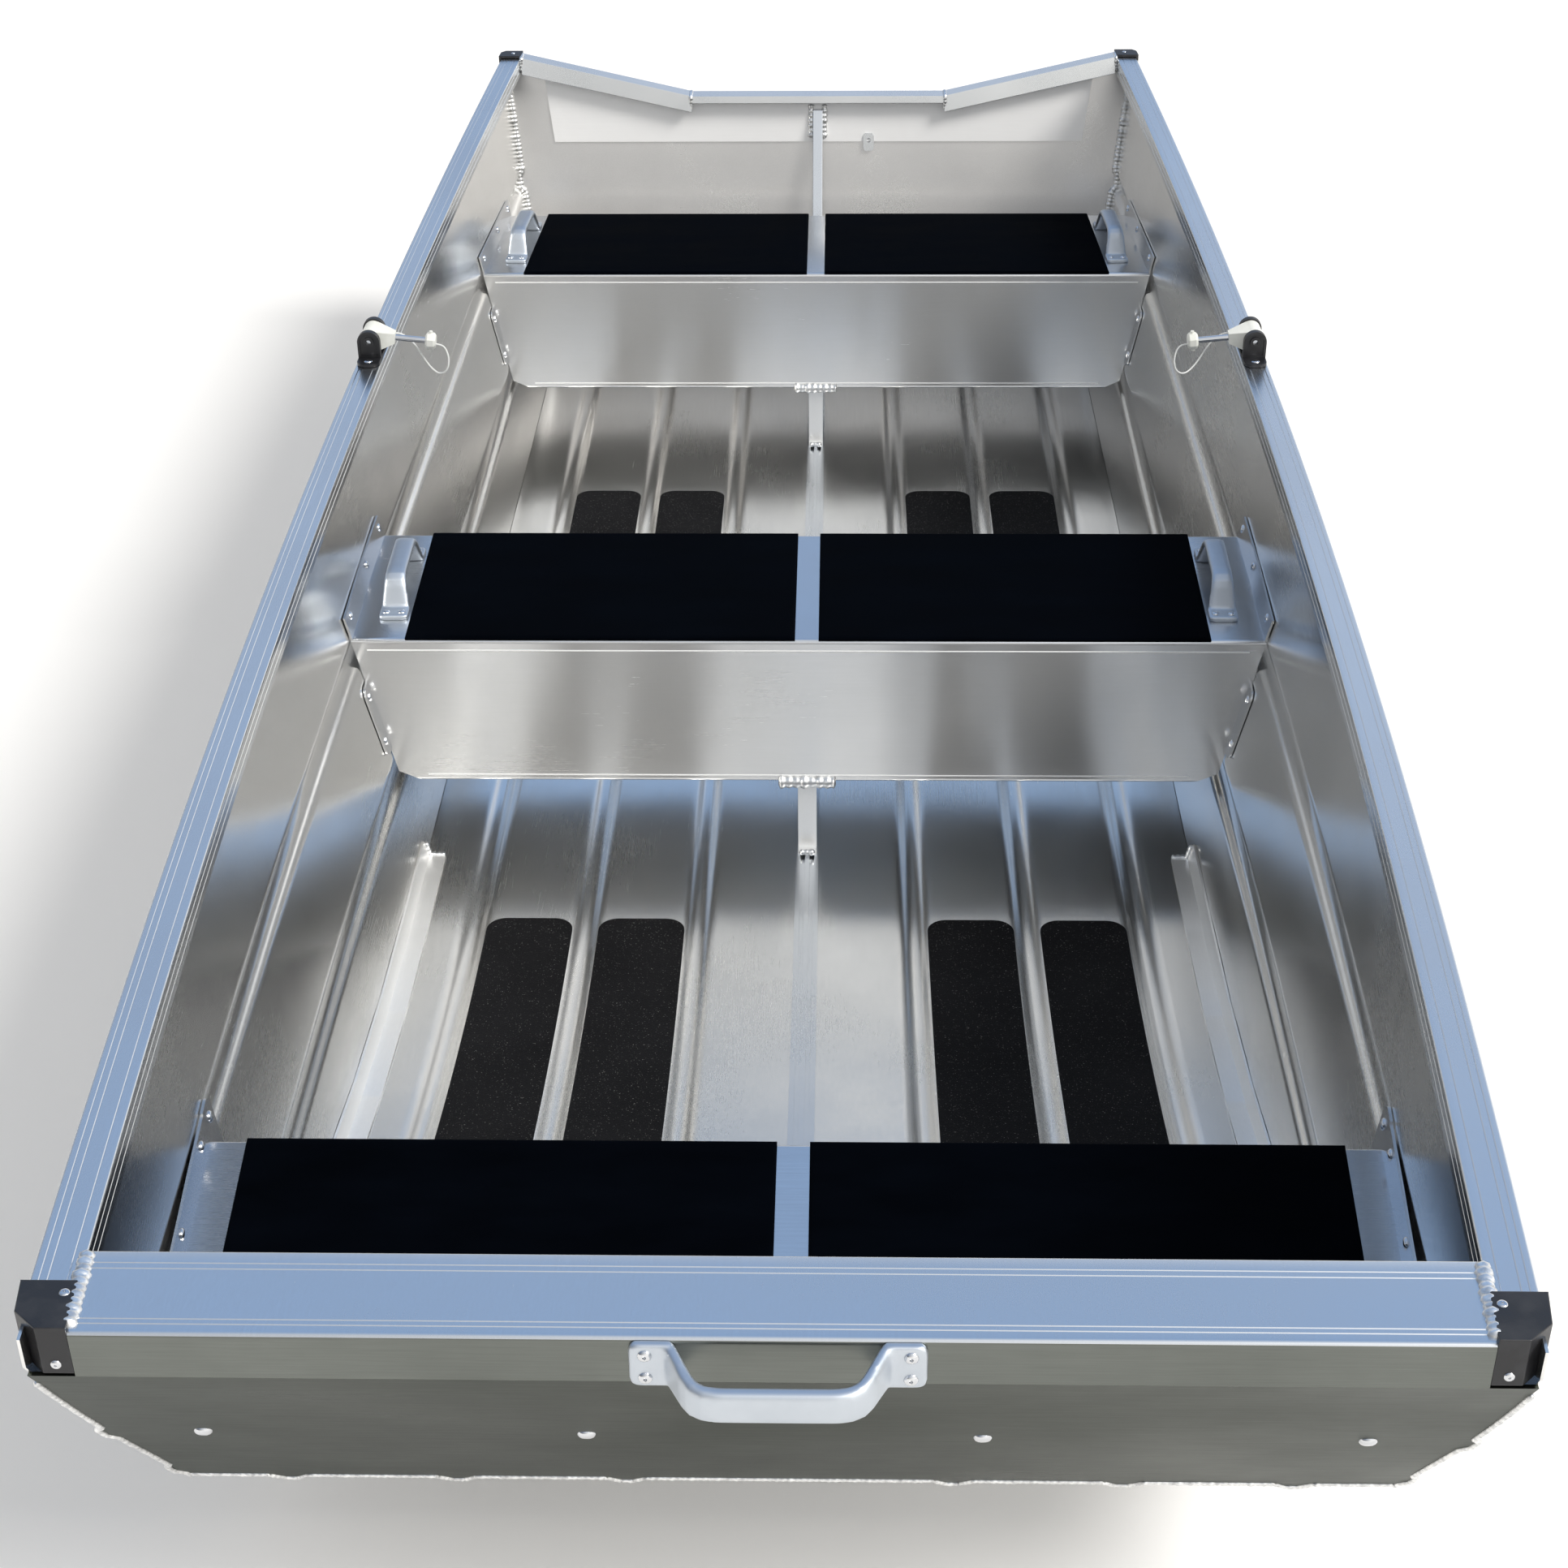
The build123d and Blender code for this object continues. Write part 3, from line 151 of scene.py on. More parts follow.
# Rivets on a seat's tabs: in a row above the seat, and up its front and back beyond its edges
TAB_RIVETS, BOW_TAB_RIVETS, RIVETS_ABOVE_SEAT = (28.0, 157.0, 258.0), (28.0, 132.0, 236.0), 15.0
TAB_BEYOND_SEAT, TAB_RIVETS_UP = 13.0, (62.0, 121.0)
BOW_BOLTS_X, BOW_BOLTS_Z = (-398.0, -135.0, 135.0, 396.0), 388.0
# Screws in a corner cap: along the boat, inboard of the rail's side, above its top, and direction
CAP_SCREWS = ((NOSE_Y + 35, 26, 4, (0, 0, 1)), (NOSE_Y, 22, -26, (0, -1, 0)),
              (STERN_Y - 12, 18, 4, (0, 0, 1)))

# Weld beads: radius, and length of one ripple
BOW_BEAD, DECK_BEAD, CORNER_BEAD = (2.3, 5.0), (6.6, 7.0), (5.0, 6.5)
DIP_BEAD, RAIL_BEAD, CENTRE_RAIL_BEAD = (3.8, 5.5), (3.2, 5.5), (2.6, 5.0)
CHINE_BEAD, BRACE_BEAD, BRACE_FOOT_BEAD = (4.2, 6.0), (5.4, 8.0), (3.2, 5.0)
POST_BEAD, POST_FOOT_BEAD = (8.6, 9.0), (4.4, 6.0)
BEAD_SIDES, BEAD_STEPS = 8, 4
# Heights on the side sheet where the bow's bead passes, below the bow deck
BOW_BEAD_HEIGHTS = (440.0, 490.0, 536.0)
# The rails' inner side from the transom, and the corner bead's middle from both sheets
RAIL_JOINT, CORNER_FROM_SIDE, CORNER_FROM_END = 27.5, 2.5, 2
# Round a chine strip's end: outward of the bottom's edge, and above the floor
CHINE_BEAD_PATH = ((-22, 2), (-3, 2), (1, 20))

# Painted highlights by the folds on a seat's front, drawn as thin raised near-white bars: half their height, and
# how far they stand out
FOLD_HIGHLIGHT_HALF, FOLD_HIGHLIGHT_PROUD = 1.0, 0.5
FOLD_HIGHLIGHT_LINES = ((SEAT_TOP - 14.0, 16.0), (SEAT_UNDER + 9.0, 34.0))

# Clip on the transom doubler
CLIP_LEFT, CLIP_RIGHT, CLIP_LOW, CLIP_TOP = 76.0, 94.0, 358.0, 386.0
CLIP_HOLE, CLIP_HOLE_UP = 3.6, 3
CLIP_NEAR, CLIP_FAR = 2.4, 0.2
CLIP_SIDES = 16

# Oarlocks
OARLOCK_Y = NOSE_Y + 1850.0
EAR_OUTER, BASE_FOOT, HINGE_HEIGHT, BASE_PLATE = 26.5, 22.0, 24.0, 4.0
BOLT_BEYOND_EAR, DOME_SUNK = 11, 1.5
PIN_DROOP = math.radians(6)
# In metres: the hinge to the block's tip, the cord, the castings' finest detail, and soft edges
BLOCK_REACH = 0.030
TETHER_RADIUS = 0.001
HANDLE_VOXEL = 0.0018
SOFT_EDGE = 0.0008
# The tether's points from the block's tip in millimetres: inboard (minus), aft and up
TETHER_ROUTE = (
    (6, 8.87, 0), (2.99, 15.19, 0), (-8, 19, -3), (-22, 17, -13), (-34, 10, -27), (-46, 2, -38),
    (-58, -5, -42), (-68, -8, -34), (-69, -6, -20), (-65, -3, -9), (-59, -2, -3), (-51, -2, -3))

# Directions of the rolling grain, as stretches of its noise
GRAIN_ALONG, GRAIN_ACROSS, GRAIN_EVEN = (60, 1.2, 60), (1.2, 60, 60), (1, 1, 1)
# Shares of smudges, streaks and spots in a sheet's tone
SMUDGE_SHARE, STREAK_SHARE, SPOT_SHARE = 0.6, 0.3, 0.04
# Faces that meet at more than this angle keep a sharp edge
SHARP_ANGLE, RAIL_SHARP_ANGLE = math.radians(35), math.radians(28)
PAD_SHARP_ANGLE, WELD_SHARP_ANGLE = math.radians(50), math.radians(70)
# How squarely an end face looks along the boat
END_FACING = 0.9


# The hull's lines, as in the frame
def parabola(bow, middle, stern):
    half = MIDDLE_Y - NOSE_Y
    slope = (stern - bow) / (2 * half)
    bend = (stern + bow - 2 * middle) / (2 * half * half)
    return lambda y: middle + slope * (y - MIDDLE_Y) + bend * (y - MIDDLE_Y) ** 2


rail_outside = parabola(*(beam / 2 for beam in BEAMS))
rail_top = parabola(*HEIGHTS)


def bottom_height(y, above=0.0):
    if y >= RAKE_Y:
        return above
    return RAKE_RADIUS - math.sqrt((RAKE_RADIUS - above) ** 2 - (RAKE_Y - y) ** 2)


def on_floor(x, above, along):
    """A place above the bottom's line, `along` being measured on the line itself."""
    if along >= RAKE_Y:
        return Vector((x, along, above))
    turn = (RAKE_Y - along) / RAKE_RADIUS
    radius = RAKE_RADIUS - above
    return Vector((x, RAKE_Y - radius * math.sin(turn), RAKE_RADIUS - radius * math.cos(turn)))


def side_line(y):
    top = (rail_outside(y) - RAIL_WALL - SHEET, rail_top(y) - RAIL_LEG - RAIL_TUCK)
    return top, (HALF_BOTTOM, bottom_height(max(y, BOW_FOOT_Y), GROOVE_DEPTH))


def side_x(y, z):
    top, foot = side_line(y)
    return foot[0] + (top[0] - foot[0]) * (z - foot[1]) / (top[1] - foot[1])


def side_inboard(y):
    """The direction that the side sheet's inner face looks in, on starboard."""
    top, foot = side_line(y)
    return Vector((foot[1] - top[1], 0.0, top[0] - foot[0])).normalized()


def side_path(y, outward):
    top, foot = side_line(y)
    length = math.dist(top, foot)
    down = ((foot[0] - top[0]) / length, (foot[1] - top[1]) / length)

    def at(distance, proud):
        return top[0] + down[0] * distance - down[1] * proud, top[1] + down[1] * distance + down[0] * proud

    points = [(top[0] + outward, rail_top(y) - RAIL_WALL), (top[0] + outward, top[1])]
    for below in SIDE_GROOVES:
        lowest = length - SIDE_GROOVE_TOP / 2 - SIDE_GROOVE_ABOVE_CHINE
        middle = min(below - RAIL_LEG - RAIL_TUCK, lowest)
        for half, proud in ((-SIDE_GROOVE_TOP / 2, 0.0), (-SIDE_GROOVE_FLOOR / 2, SIDE_GROOVE_DEPTH),
                            (SIDE_GROOVE_FLOOR / 2, SIDE_GROOVE_DEPTH), (SIDE_GROOVE_TOP / 2, 0.0)):
            points.append(at(middle + half, proud + outward))
    points.append(at(length, outward))
    return points


def bottom_path(raised):
    """The bottom's whole cross-section from port to starboard, as (x, above)."""
    points = [(0.0, GROOVE_DEPTH + raised)]
    for centre in GROOVES:
        points += [(centre - GROOVE_TOP / 2, GROOVE_DEPTH + raised), (centre - GROOVE_FLOOR / 2, raised),
                   (centre + GROOVE_FLOOR / 2, raised), (centre + GROOVE_TOP / 2, GROOVE_DEPTH + raised)]
    points.append((HALF_BOTTOM, GROOVE_DEPTH + raised))
    return [(-x, above) for x, above in points[:0:-1]] + points


class SlopingEnd:
    """The flat plane of the bow plate or the transom, from its top to its foot in side view."""

    def __init__(self, top, foot):
        self.top, self.foot = top, foot
        along = Vector((0, top[0] - foot[0], top[1] - foot[1])).normalized()
        ahead = 1.0 if top[0] > 0 else -1.0
        self.outward = Vector((0, along.z, -along.y)) * ahead

    def y_at(self, z, inside=0.0):
        y = self.foot[0] + (z - self.foot[1]) * (self.top[0] - self.foot[0]) / (self.top[1] - self.foot[1])
        return y - inside / self.outward.y

    def meets(self, line, start, end):
        """Where a line along the hull crosses the plane; start is inside it and end outside."""
        for _ in range(40):
            middle = (start + end) / 2
            place = line(middle)
            beyond = (place - Vector((0, self.foot[0], self.foot[1]))).dot(self.outward)
            start, end = (start, middle) if beyond > 0 else (middle, end)
        return line(start)

    def cut(self, inside):
        """The plane's place and direction for a piece that ends inside it."""
        return Vector((0, self.foot[0], self.foot[1])) - self.outward * inside, self.outward


# The transom's rails stand outside it by their wall and the gap
STERN_TOP_Y = STERN_Y - (RAIL_WALL + WELD_GAP) / math.cos(TRANSOM_TILT)
BOW_END = SlopingEnd((NOSE_Y, rail_top(NOSE_Y) - NOSE_FACE), (BOW_FOOT_Y, bottom_height(BOW_FOOT_Y)))
STERN_END = SlopingEnd((STERN_TOP_Y, rail_top(STERN_Y)),
                       (STERN_TOP_Y - rail_top(STERN_Y) * math.tan(TRANSOM_TILT), 0.0))
HULL_ENDS = (BOW_END.cut(PLATE), STERN_END.cut(PLATE))


# Node helpers
def new_material(name):
    material = bpy.data.materials.new(name)
    material.use_nodes = True
    tree = material.node_tree
    return material, tree, tree.nodes["Principled BSDF"]


def add_node(tree, kind, **settings):
    node = tree.nodes.new(kind)
    for key, value in settings.items():
        setattr(node, key, value)
    return node


def object_points(tree, scale):
    """Coordinates in the boat's frame, stretched by scale."""
    place = add_node(tree, "ShaderNodeTexCoord")
    mapping = add_node(tree, "ShaderNodeMapping")
    mapping.inputs["Scale"].default_value = scale
    tree.links.new(place.outputs["Object"], mapping.inputs["Vector"])
    return mapping.outputs["Vector"]


def noise(tree, scale, stretch=(1, 1, 1), detail=4.0, roughness=0.55):
    node = add_node(tree, "ShaderNodeTexNoise")
    node.inputs["Scale"].default_value = scale
    node.inputs["Detail"].default_value = detail
    node.inputs["Roughness"].default_value = roughness
    tree.links.new(object_points(tree, stretch), node.inputs["Vector"])
    return node.outputs["Fac"]


def spread(tree, value, low, high, start=0.3, end=0.7):
    """The value from start to end, mapped to low to high."""
    node = add_node(tree, "ShaderNodeMapRange")
    for socket, number in (("From Min", start), ("From Max", end), ("To Min", low), ("To Max", high)):
        node.inputs[socket].default_value = number
    tree.links.new(value, node.inputs["Value"])
    return node.outputs["Result"]


def two_colours(tree, value, first, second):
    node = add_node(tree, "ShaderNodeMix", data_type="RGBA")
    node.inputs["A"].default_value = (*first, 1.0)
    node.inputs["B"].default_value = (*second, 1.0)
    tree.links.new(value, node.inputs["Factor"])
    return node.outputs["Result"]


def combine(tree, operation, first, second):
    node = add_node(tree, "ShaderNodeMath", operation=operation)
    for socket, value in zip(node.inputs, (first, second)):
        if isinstance(value, (int, float)):
            socket.default_value = value
        else:
            tree.links.new(value, socket)
    return node.outputs["Value"]


def mixed_shaders(tree, share, first, second):
    node = add_node(tree, "ShaderNodeMixShader")
    for socket, value in zip(node.inputs, (share, first, second)):
        tree.links.new(value, socket)
    return node.outputs["Shader"]


def bump(tree, shader, *layers):
    """Bumps over each other, each a height from 0 to 1 and how far it stands up in metres."""
    below = None
    for height, distance in layers:
        node = add_node(tree, "ShaderNodeBump")
        node.inputs["Distance"].default_value = distance
        tree.links.new(height, node.inputs["Height"])
        if below:
            tree.links.new(below, node.inputs["Normal"])
        below = node.outputs["Normal"]
    tree.links.new(below, shader.inputs["Normal"])


# Materials
def paint(tree, shader, value, tones, rough, tone_span=(0.3, 0.7), rough_span=(0.3, 0.7)):
    """Tone and roughness that go from first to second while the value crosses their spans."""
    tone = two_colours(tree, spread(tree, value, 0.0, 1.0, *tone_span), *tones)
    tree.links.new(tone, shader.inputs["Base Color"])
    tree.links.new(spread(tree, value, *rough, *rough_span), shader.inputs["Roughness"])


def rolled_aluminium(name, dark, light, rough, grain=GRAIN_ALONG, grain_height=0.000004, wave=0.0010,
                     folds=0.0, metal=1.0, edge=1.0):
    """Bare sheet or extrusion: fine grain along the rolling direction, a slow wave, smudges and
    spots. Rough is the least and greatest roughness; heights are in metres."""
    material, tree, shader = new_material(name)
    shader.inputs["Metallic"].default_value = metal
    shader.inputs["Specular Tint"].default_value = (edge, edge, edge, 1.0)
    smudge = noise(tree, 3.0, detail=5.0)
    streak = noise(tree, 12.0, stretch=grain, detail=6.0, roughness=0.7)
    spots = noise(tree, 60.0, detail=3.0)
    mixed = combine(tree, "ADD", combine(tree, "MULTIPLY", smudge, SMUDGE_SHARE),
                    combine(tree, "MULTIPLY", streak, STREAK_SHARE))
    mixed = combine(tree, "ADD", mixed, combine(tree, "MULTIPLY", spots, SPOT_SHARE))
    paint(tree, shader, mixed, (dark, light), rough[::-1], (0.30, 0.62), (0.35, 0.65))
    upright = noise(tree, 9.0, stretch=(1.0, 0.3, 0.1), detail=1.0)
    bump(tree, shader, (upright, folds), (noise(tree, 4.5, detail=1.0), wave), (streak, grain_height))
    return material


def weld_metal():
    """Frozen weld pool: bright crests, a little soot between them."""
    material, tree, shader = new_material("weld_metal")
    shader.inputs["Metallic"].default_value = 1.0
    soot = noise(tree, 160.0, detail=4.0)
    paint(tree, shader, soot, ((0.62, 0.62, 0.62), (0.95, 0.95, 0.94)), (0.46, 0.30), (0.35, 0.6))
    bump(tree, shader, (noise(tree, 900.0, detail=3.0), 0.00012))
    return material


def plastic(name, colour, lighter, rough):
    """Moulded plastic with a fine spark-eroded grain and faint scuffs."""
    material, tree, shader = new_material(name)
    shader.inputs["Metallic"].default_value = 0.0
    scuff = noise(tree, 45.0, detail=6.0)
    paint(tree, shader, scuff, (colour, lighter), rough, (0.45, 0.75))
    bump(tree, shader, (noise(tree, 900.0, detail=2.0), 0.00004))
    return material


def gritty_tape():
    """Black mineral grit: coarse grains, a few of them bright."""
    material, tree, shader = new_material("grit_tape")
    grains = add_node(tree, "ShaderNodeTexVoronoi")
    grains.inputs["Scale"].default_value = 900.0
    tree.links.new(object_points(tree, GRAIN_EVEN), grains.inputs["Vector"])
    bright = noise(tree, 700.0, detail=1.0)
    worn = noise(tree, 7.0, detail=4.0)
    dark = two_colours(tree, spread(tree, worn, 0.0, 1.0), (0.004, 0.004, 0.0045), (0.008, 0.008, 0.009))
    sparkle = add_node(tree, "ShaderNodeMix", data_type="RGBA")
    sparkle.inputs["B"].default_value = (0.22, 0.22, 0.21, 1.0)
    tree.links.new(dark, sparkle.inputs["A"])
    tree.links.new(spread(tree, bright, 0.0, 1.0, 0.70, 0.76), sparkle.inputs["Factor"])
    tree.links.new(sparkle.outputs["Result"], shader.inputs["Base Color"])
    shader.inputs["Roughness"].default_value = 0.85
    shader.inputs["Specular IOR Level"].default_value = 0.12
    bump(tree, shader, (grains.outputs["Distance"], 0.0005))
    return material


def foam():
    """Smooth closed-cell foam sheet, black with a blue cast."""
    material, tree, shader = new_material("seat_foam")
    patch = noise(tree, 9.0, stretch=(1, 2.5, 1), detail=5.0)
    paint(tree, shader, patch, ((0.0003, 0.0007, 0.0016), (0.0010, 0.0018, 0.0036)), (0.62, 0.78))
    shader.inputs["Specular IOR Level"].default_value = 0.01
    bump(tree, shader, (noise(tree, 1400.0, detail=3.0), 0.00006))
    return material


# Bare metals: darker and lighter tone, roughness, and what sets them apart
METALS = {
    "hull_sheet": ((0.76, 0.75, 0.725), (0.92, 0.915, 0.90), (0.15, 0.30), {}),
    "transom_sheet": ((0.66, 0.65, 0.64), (0.82, 0.81, 0.80), (0.22, 0.36), {"metal": 0.75}),
    # Near-white and matte: painted light. It lifts the transom doubler out of the rails' shade and, on the seats'
    # fold bars, paints their highlights.
    "painted_light_sheet": ((0.90, 0.90, 0.90), (0.97, 0.97, 0.97), (0.30, 0.42),
                     {"grain": GRAIN_ACROSS, "wave": 0.0003, "metal": 0.15}),
    "strip_metal": ((0.84, 0.84, 0.83), (0.94, 0.94, 0.93), (0.28, 0.42), {"wave": 0.0003, "metal": 0.75}),
    "seat_sheet": ((0.60, 0.61, 0.63), (0.80, 0.81, 0.82), (0.16, 0.28), {"grain": GRAIN_ACROSS}),
    # A lighter copy of the seat metal for the seats' front and back faces: painted light, which makes those faces
    # brighter than the seat tops.
    "seat_face_painted_light": ((0.88, 0.875, 0.86), (0.96, 0.955, 0.94), (0.16, 0.28),
                  {"grain": GRAIN_ACROSS, "folds": 0.0035, "metal": 0.72}),
    "extrusion": ((0.70, 0.72, 0.74), (0.80, 0.82, 0.84), (0.20, 0.30), {"wave": 0.0003}),
    # Dark green-grey on the bow plate: a painted reflection of dark grass, not the sheet's own tone.
    "bow_sheet_painted_reflection": ((0.074, 0.084, 0.070), (0.124, 0.137, 0.117), (0.24, 0.38),
                  {"grain": GRAIN_ACROSS, "edge": 0.55}),
    # Dark green-grey like the bow plate, on the bow deck's forward faces: a painted dark reflection.
    "nose_face_painted_reflection": ((0.132, 0.140, 0.128), (0.208, 0.220, 0.203), (0.24, 0.36),
                  {"grain": GRAIN_ACROSS, "wave": 0.0003}),
    "cast_handle": ((0.52, 0.56, 0.61), (0.63, 0.67, 0.72), (0.40, 0.52),
                    {"grain": GRAIN_EVEN, "grain_height": 0.00008, "wave": 0.0}),
    "pin_steel": ((0.62, 0.63, 0.65), (0.76, 0.77, 0.79), (0.10, 0.18), {"wave": 0.0}),
}
# Plastics: tone, lighter tone where scuffed, and roughness
PLASTICS = {
    "black_plastic": ((0.010, 0.010, 0.012), (0.030, 0.031, 0.035), (0.32, 0.50)),
    "white_plastic": ((0.80, 0.81, 0.76), (0.88, 0.89, 0.85), (0.30, 0.42)),
    "tether_cord": ((0.80, 0.81, 0.80), (0.90, 0.91, 0.90), (0.35, 0.45)),
}
MATERIALS = {name: rolled_aluminium(name, *tones, **more) for name, (*tones, more) in METALS.items()}
MATERIALS["weld_metal"] = weld_metal()
MATERIALS["seat_foam"] = foam()
MATERIALS["grit_tape"] = gritty_tape()
MATERIALS.update((name, plastic(name, *tones)) for name, tones in PLASTICS.items())
# Finishes of nodes that look unlike their slot in the record. The bow plate's dark tone is a painted reflection,
# and the doubler's near-white tone is painted light that lifts it out of the rails' shade.
FINISH = {"bow_plate": "bow_sheet_painted_reflection", "transom_plate": "transom_sheet", "transom_doubler": "painted_light_sheet",
          "chine_strip_left": "strip_metal", "chine_strip_right": "strip_metal",
          "mid_seat_post": "strip_metal", "stern_seat_post": "strip_metal"}
# Nodes whose edges are drawn rounded
SOFT_EDGES = ("transom_rail_left", "transom_rail_right", "transom_rail_centre", "transom_brace",
              "bow_cap_left", "bow_cap_right", "stern_cap_left", "stern_cap_right")


# Mesh helpers
def rounded(points, radius, steps=4, closed=False):
    """The path with an arc at each corner."""
    path = []
    for number, here in enumerate(points):
        if not closed and number in (0, len(points) - 1):
            path.append(tuple(here))
            continue
        here = Vector(here)
        before, after = Vector(points[number - 1]) - here, Vector(points[(number + 1) % len(points)]) - here
        start = here + before.normalized() * min(radius, 0.45 * before.length)
        end = here + after.normalized() * min(radius, 0.45 * after.length)
        for step in range(steps + 1):
            t = step / steps
            path.append(tuple(start * (1 - t) ** 2 + here * 2 * t * (1 - t) + end * t ** 2))
    return path


def loft(rings, ends=True):
    """Points and faces of a skin over closed rings with equal counts."""
    count = len(rings[0])
    points = [point for ring in rings for point in ring]
    faces = [(row * count + k, row * count + (k + 1) % count, (row + 1) * count + (k + 1) % count,
              (row + 1) * count + k) for row in range(len(rings) - 1) for k in range(count)]
    if ends:
        faces += [tuple(range(count)), tuple(range(len(points) - count, len(points)))]
    return points, faces


def merged(shapes):
    """One list of points and faces out of several."""
    points, faces = [], []
    for more, tied in shapes:
        faces += [tuple(index + len(points) for index in face) for face in tied]
        points += more
    return points, faces


def new_mesh(name, shape, cuts, smooth):
    """A mesh in metres with its normals outward, cut off beyond the given planes."""
    points, faces = shape
    mesh = bpy.data.meshes.new(name)
    mesh.from_pydata([Vector(point) * MILLIMETRE for point in points], [], faces)
    bm = bmesh.new()
    bm.from_mesh(mesh)
    for place, outward in cuts:
        cut = bmesh.ops.bisect_plane(bm, geom=bm.verts[:] + bm.edges[:] + bm.faces[:],
                                     plane_co=place * MILLIMETRE, plane_no=outward, clear_outer=True)
        edges = [item for item in cut["geom_cut"] if isinstance(item, bmesh.types.BMEdge)]
        bmesh.ops.edgeloop_fill(bm, edges=edges)
    bmesh.ops.recalc_face_normals(bm, faces=bm.faces[:])
    bm.to_mesh(mesh)
    bm.free()
    mesh.shade_smooth()
    mesh.set_sharp_from_angle(angle=smooth)
    return mesh


def add_object(name, data):
    item = bpy.data.objects.new(name, data)
    bpy.context.scene.collection.objects.link(item)
    return item


def add_piece(name, mesh, slot, body="root", nodes=()):
    piece = add_object(name, mesh)
    dress(piece, slot)
    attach(piece, body)
    if nodes:
        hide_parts(*nodes)
    return piece


def add_shapes(name, shapes, slot, nodes=(), cuts=(), smooth=SHARP_ANGLE):
    """One piece made of the shapes."""
    return add_piece(name, new_mesh(name, merged(shapes), cuts, smooth), slot, nodes=nodes)


def dress(piece, slot):
    piece.data.materials.clear()
    piece.data.materials.append(MATERIALS[slot])


# Small shapes
def facing(normal):
    """Two directions square to each other and to the normal."""
    normal = Vector(normal).normalized()
    other = Vector((1, 0, 0)) if abs(normal.x) < 0.8 else Vector((0, 1, 0))
    first = normal.cross(other).normalized()
    return normal, first, normal.cross(first)


def turns(count):
    """Angles evenly round a circle."""
    return [math.tau * k / count for k in range(count)]


def dome(place, normal, radius, height, recess=False):
    """A rivet or screw head standing on a surface, some with a recess in the middle."""
    normal, first, second = facing(normal)
    profile = HEAD_LINE + (HEAD_RECESS if recess else [(0.2, 1.0)])
    rings = []
    for out, up in profile:
        rings.append([tuple(Vector(place) + normal * up * height
                            + (first * math.cos(turn) + second * math.sin(turn)) * out * radius)
                      for turn in turns(HEAD_SIDES)])
    return loft(rings)


def weld_bead(path, radius, pitch, seed):
    """One bead of overlapping scallops along a path."""
    chance = random.Random(seed + SEED)
    path = [Vector(point) for point in path]
    runs = [(b - a).length for a, b in zip(path, path[1:])]
    steps = max(6, round(BEAD_STEPS * sum(runs) / pitch))
    rings = []
    swell = 1.0
    for step in range(steps + 1):
        far = sum(runs) * step / steps
        number = 0
        while number < len(runs) - 1 and far > runs[number]:
            far -= runs[number]
            number += 1
        along = (path[number + 1] - path[number]).normalized()
        place = path[number] + along * min(far, runs[number])
        if step % BEAD_STEPS == 0:
            swell = chance.uniform(0.88, 1.1)
        size = radius * swell * (0.74 + 0.26 * math.sin(math.pi * (step % BEAD_STEPS + 0.5) / BEAD_STEPS))
        if step in (0, steps):
            size *= 0.45
        _, first, second = facing(along)
        rings.append([tuple(place + (first * math.cos(turn) + second * math.sin(turn)) * size)
                      for turn in turns(BEAD_SIDES)])
    return loft(rings)


# Hull sheets
def hull_bottom():
    low, high = (rounded(bottom_path(raised), SHEET_BEND) for raised in (0.0, SHEET))
    section = low + high[::-1]
    reach = BEYOND_FOOT + math.asin((RAKE_Y - BOW_FOOT_Y) / RAKE_RADIUS) * RAKE_RADIUS
    rows = [RAKE_Y - reach * (1 - step / RAKE_ROWS) for step in range(RAKE_ROWS)]
    rows += [RAKE_Y + (STERN_Y - RAKE_Y) * step / FLAT_ROWS for step in range(FLAT_ROWS + 1)]
    shape = loft([[on_floor(x, above, along) for x, above in section] for along in rows])
    add_shapes("bottom_sheet", [shape], "hull_sheet", ("hull_bottom",), HULL_ENDS)


def hull_side(side, way):
    rings = []
    for row in range(SIDE_ROWS + 1):
        y = NOSE_Y - BEYOND_ENDS + (STERN_Y - NOSE_Y + 2 * BEYOND_ENDS) * row / SIDE_ROWS
        section = rounded(side_path(y, 0.0), SHEET_BEND) + rounded(side_path(y, SHEET), SHEET_BEND)[::-1]
        rings.append([(way * x, y, z) for x, z in section])
    add_shapes("side_sheet_" + side, [loft(rings)], "hull_sheet", ("hull_side_" + side,), HULL_ENDS)


# Extrusions
def lined(start, end, lines, inward):
    """A straight run with fine sunk lines at distances from its start."""
    start, end, inward = Vector(start), Vector(end), Vector(inward)
    along = (end - start).normalized()
    points = []
    for place in lines:
        middle = start + along * place
        points += [middle - along * LINE_WIDTH / 2, middle + inward * LINE_DEPTH,
                   middle + along * LINE_WIDTH / 2]
    return [tuple(point) for point in points]


def rail_section(y):
    out, top = rail_outside(y), rail_top(y)
    inn, under = out - RAIL_WIDTH, top - RAIL_LEG
    outer = [(out, under), (out, top), (inn, top), (inn, under)]
    corners = rounded(outer, RAIL_EDGE)
    half = len(corners) // 2
    skin = corners[:half] + lined(outer[1], outer[2], RAIL_LINES, (0, -1)) + corners[half:-1]
    skin += lined(outer[2], outer[3], LIP_LINES, (1, 0)) + [corners[-1]]
    inner = [(inn + RAIL_WALL, under), (inn + RAIL_WALL, top - RAIL_WALL), (out - RAIL_WALL, top - RAIL_WALL),
             (out - RAIL_WALL, under)]
    return skin + inner


def gunwale(side, way):
    rings = []
    for row in range(SIDE_ROWS + 1):
        y = RAIL_FORE_Y + (RAIL_AFT_Y - RAIL_FORE_Y) * row / SIDE_ROWS
        rings.append([(way * x, y, z) for x, z in rail_section(y)])
    add_shapes("gunwale_rail_" + side, [loft(rings)], "extrusion", ("gunwale_" + side,),
               smooth=RAIL_SHARP_ANGLE)


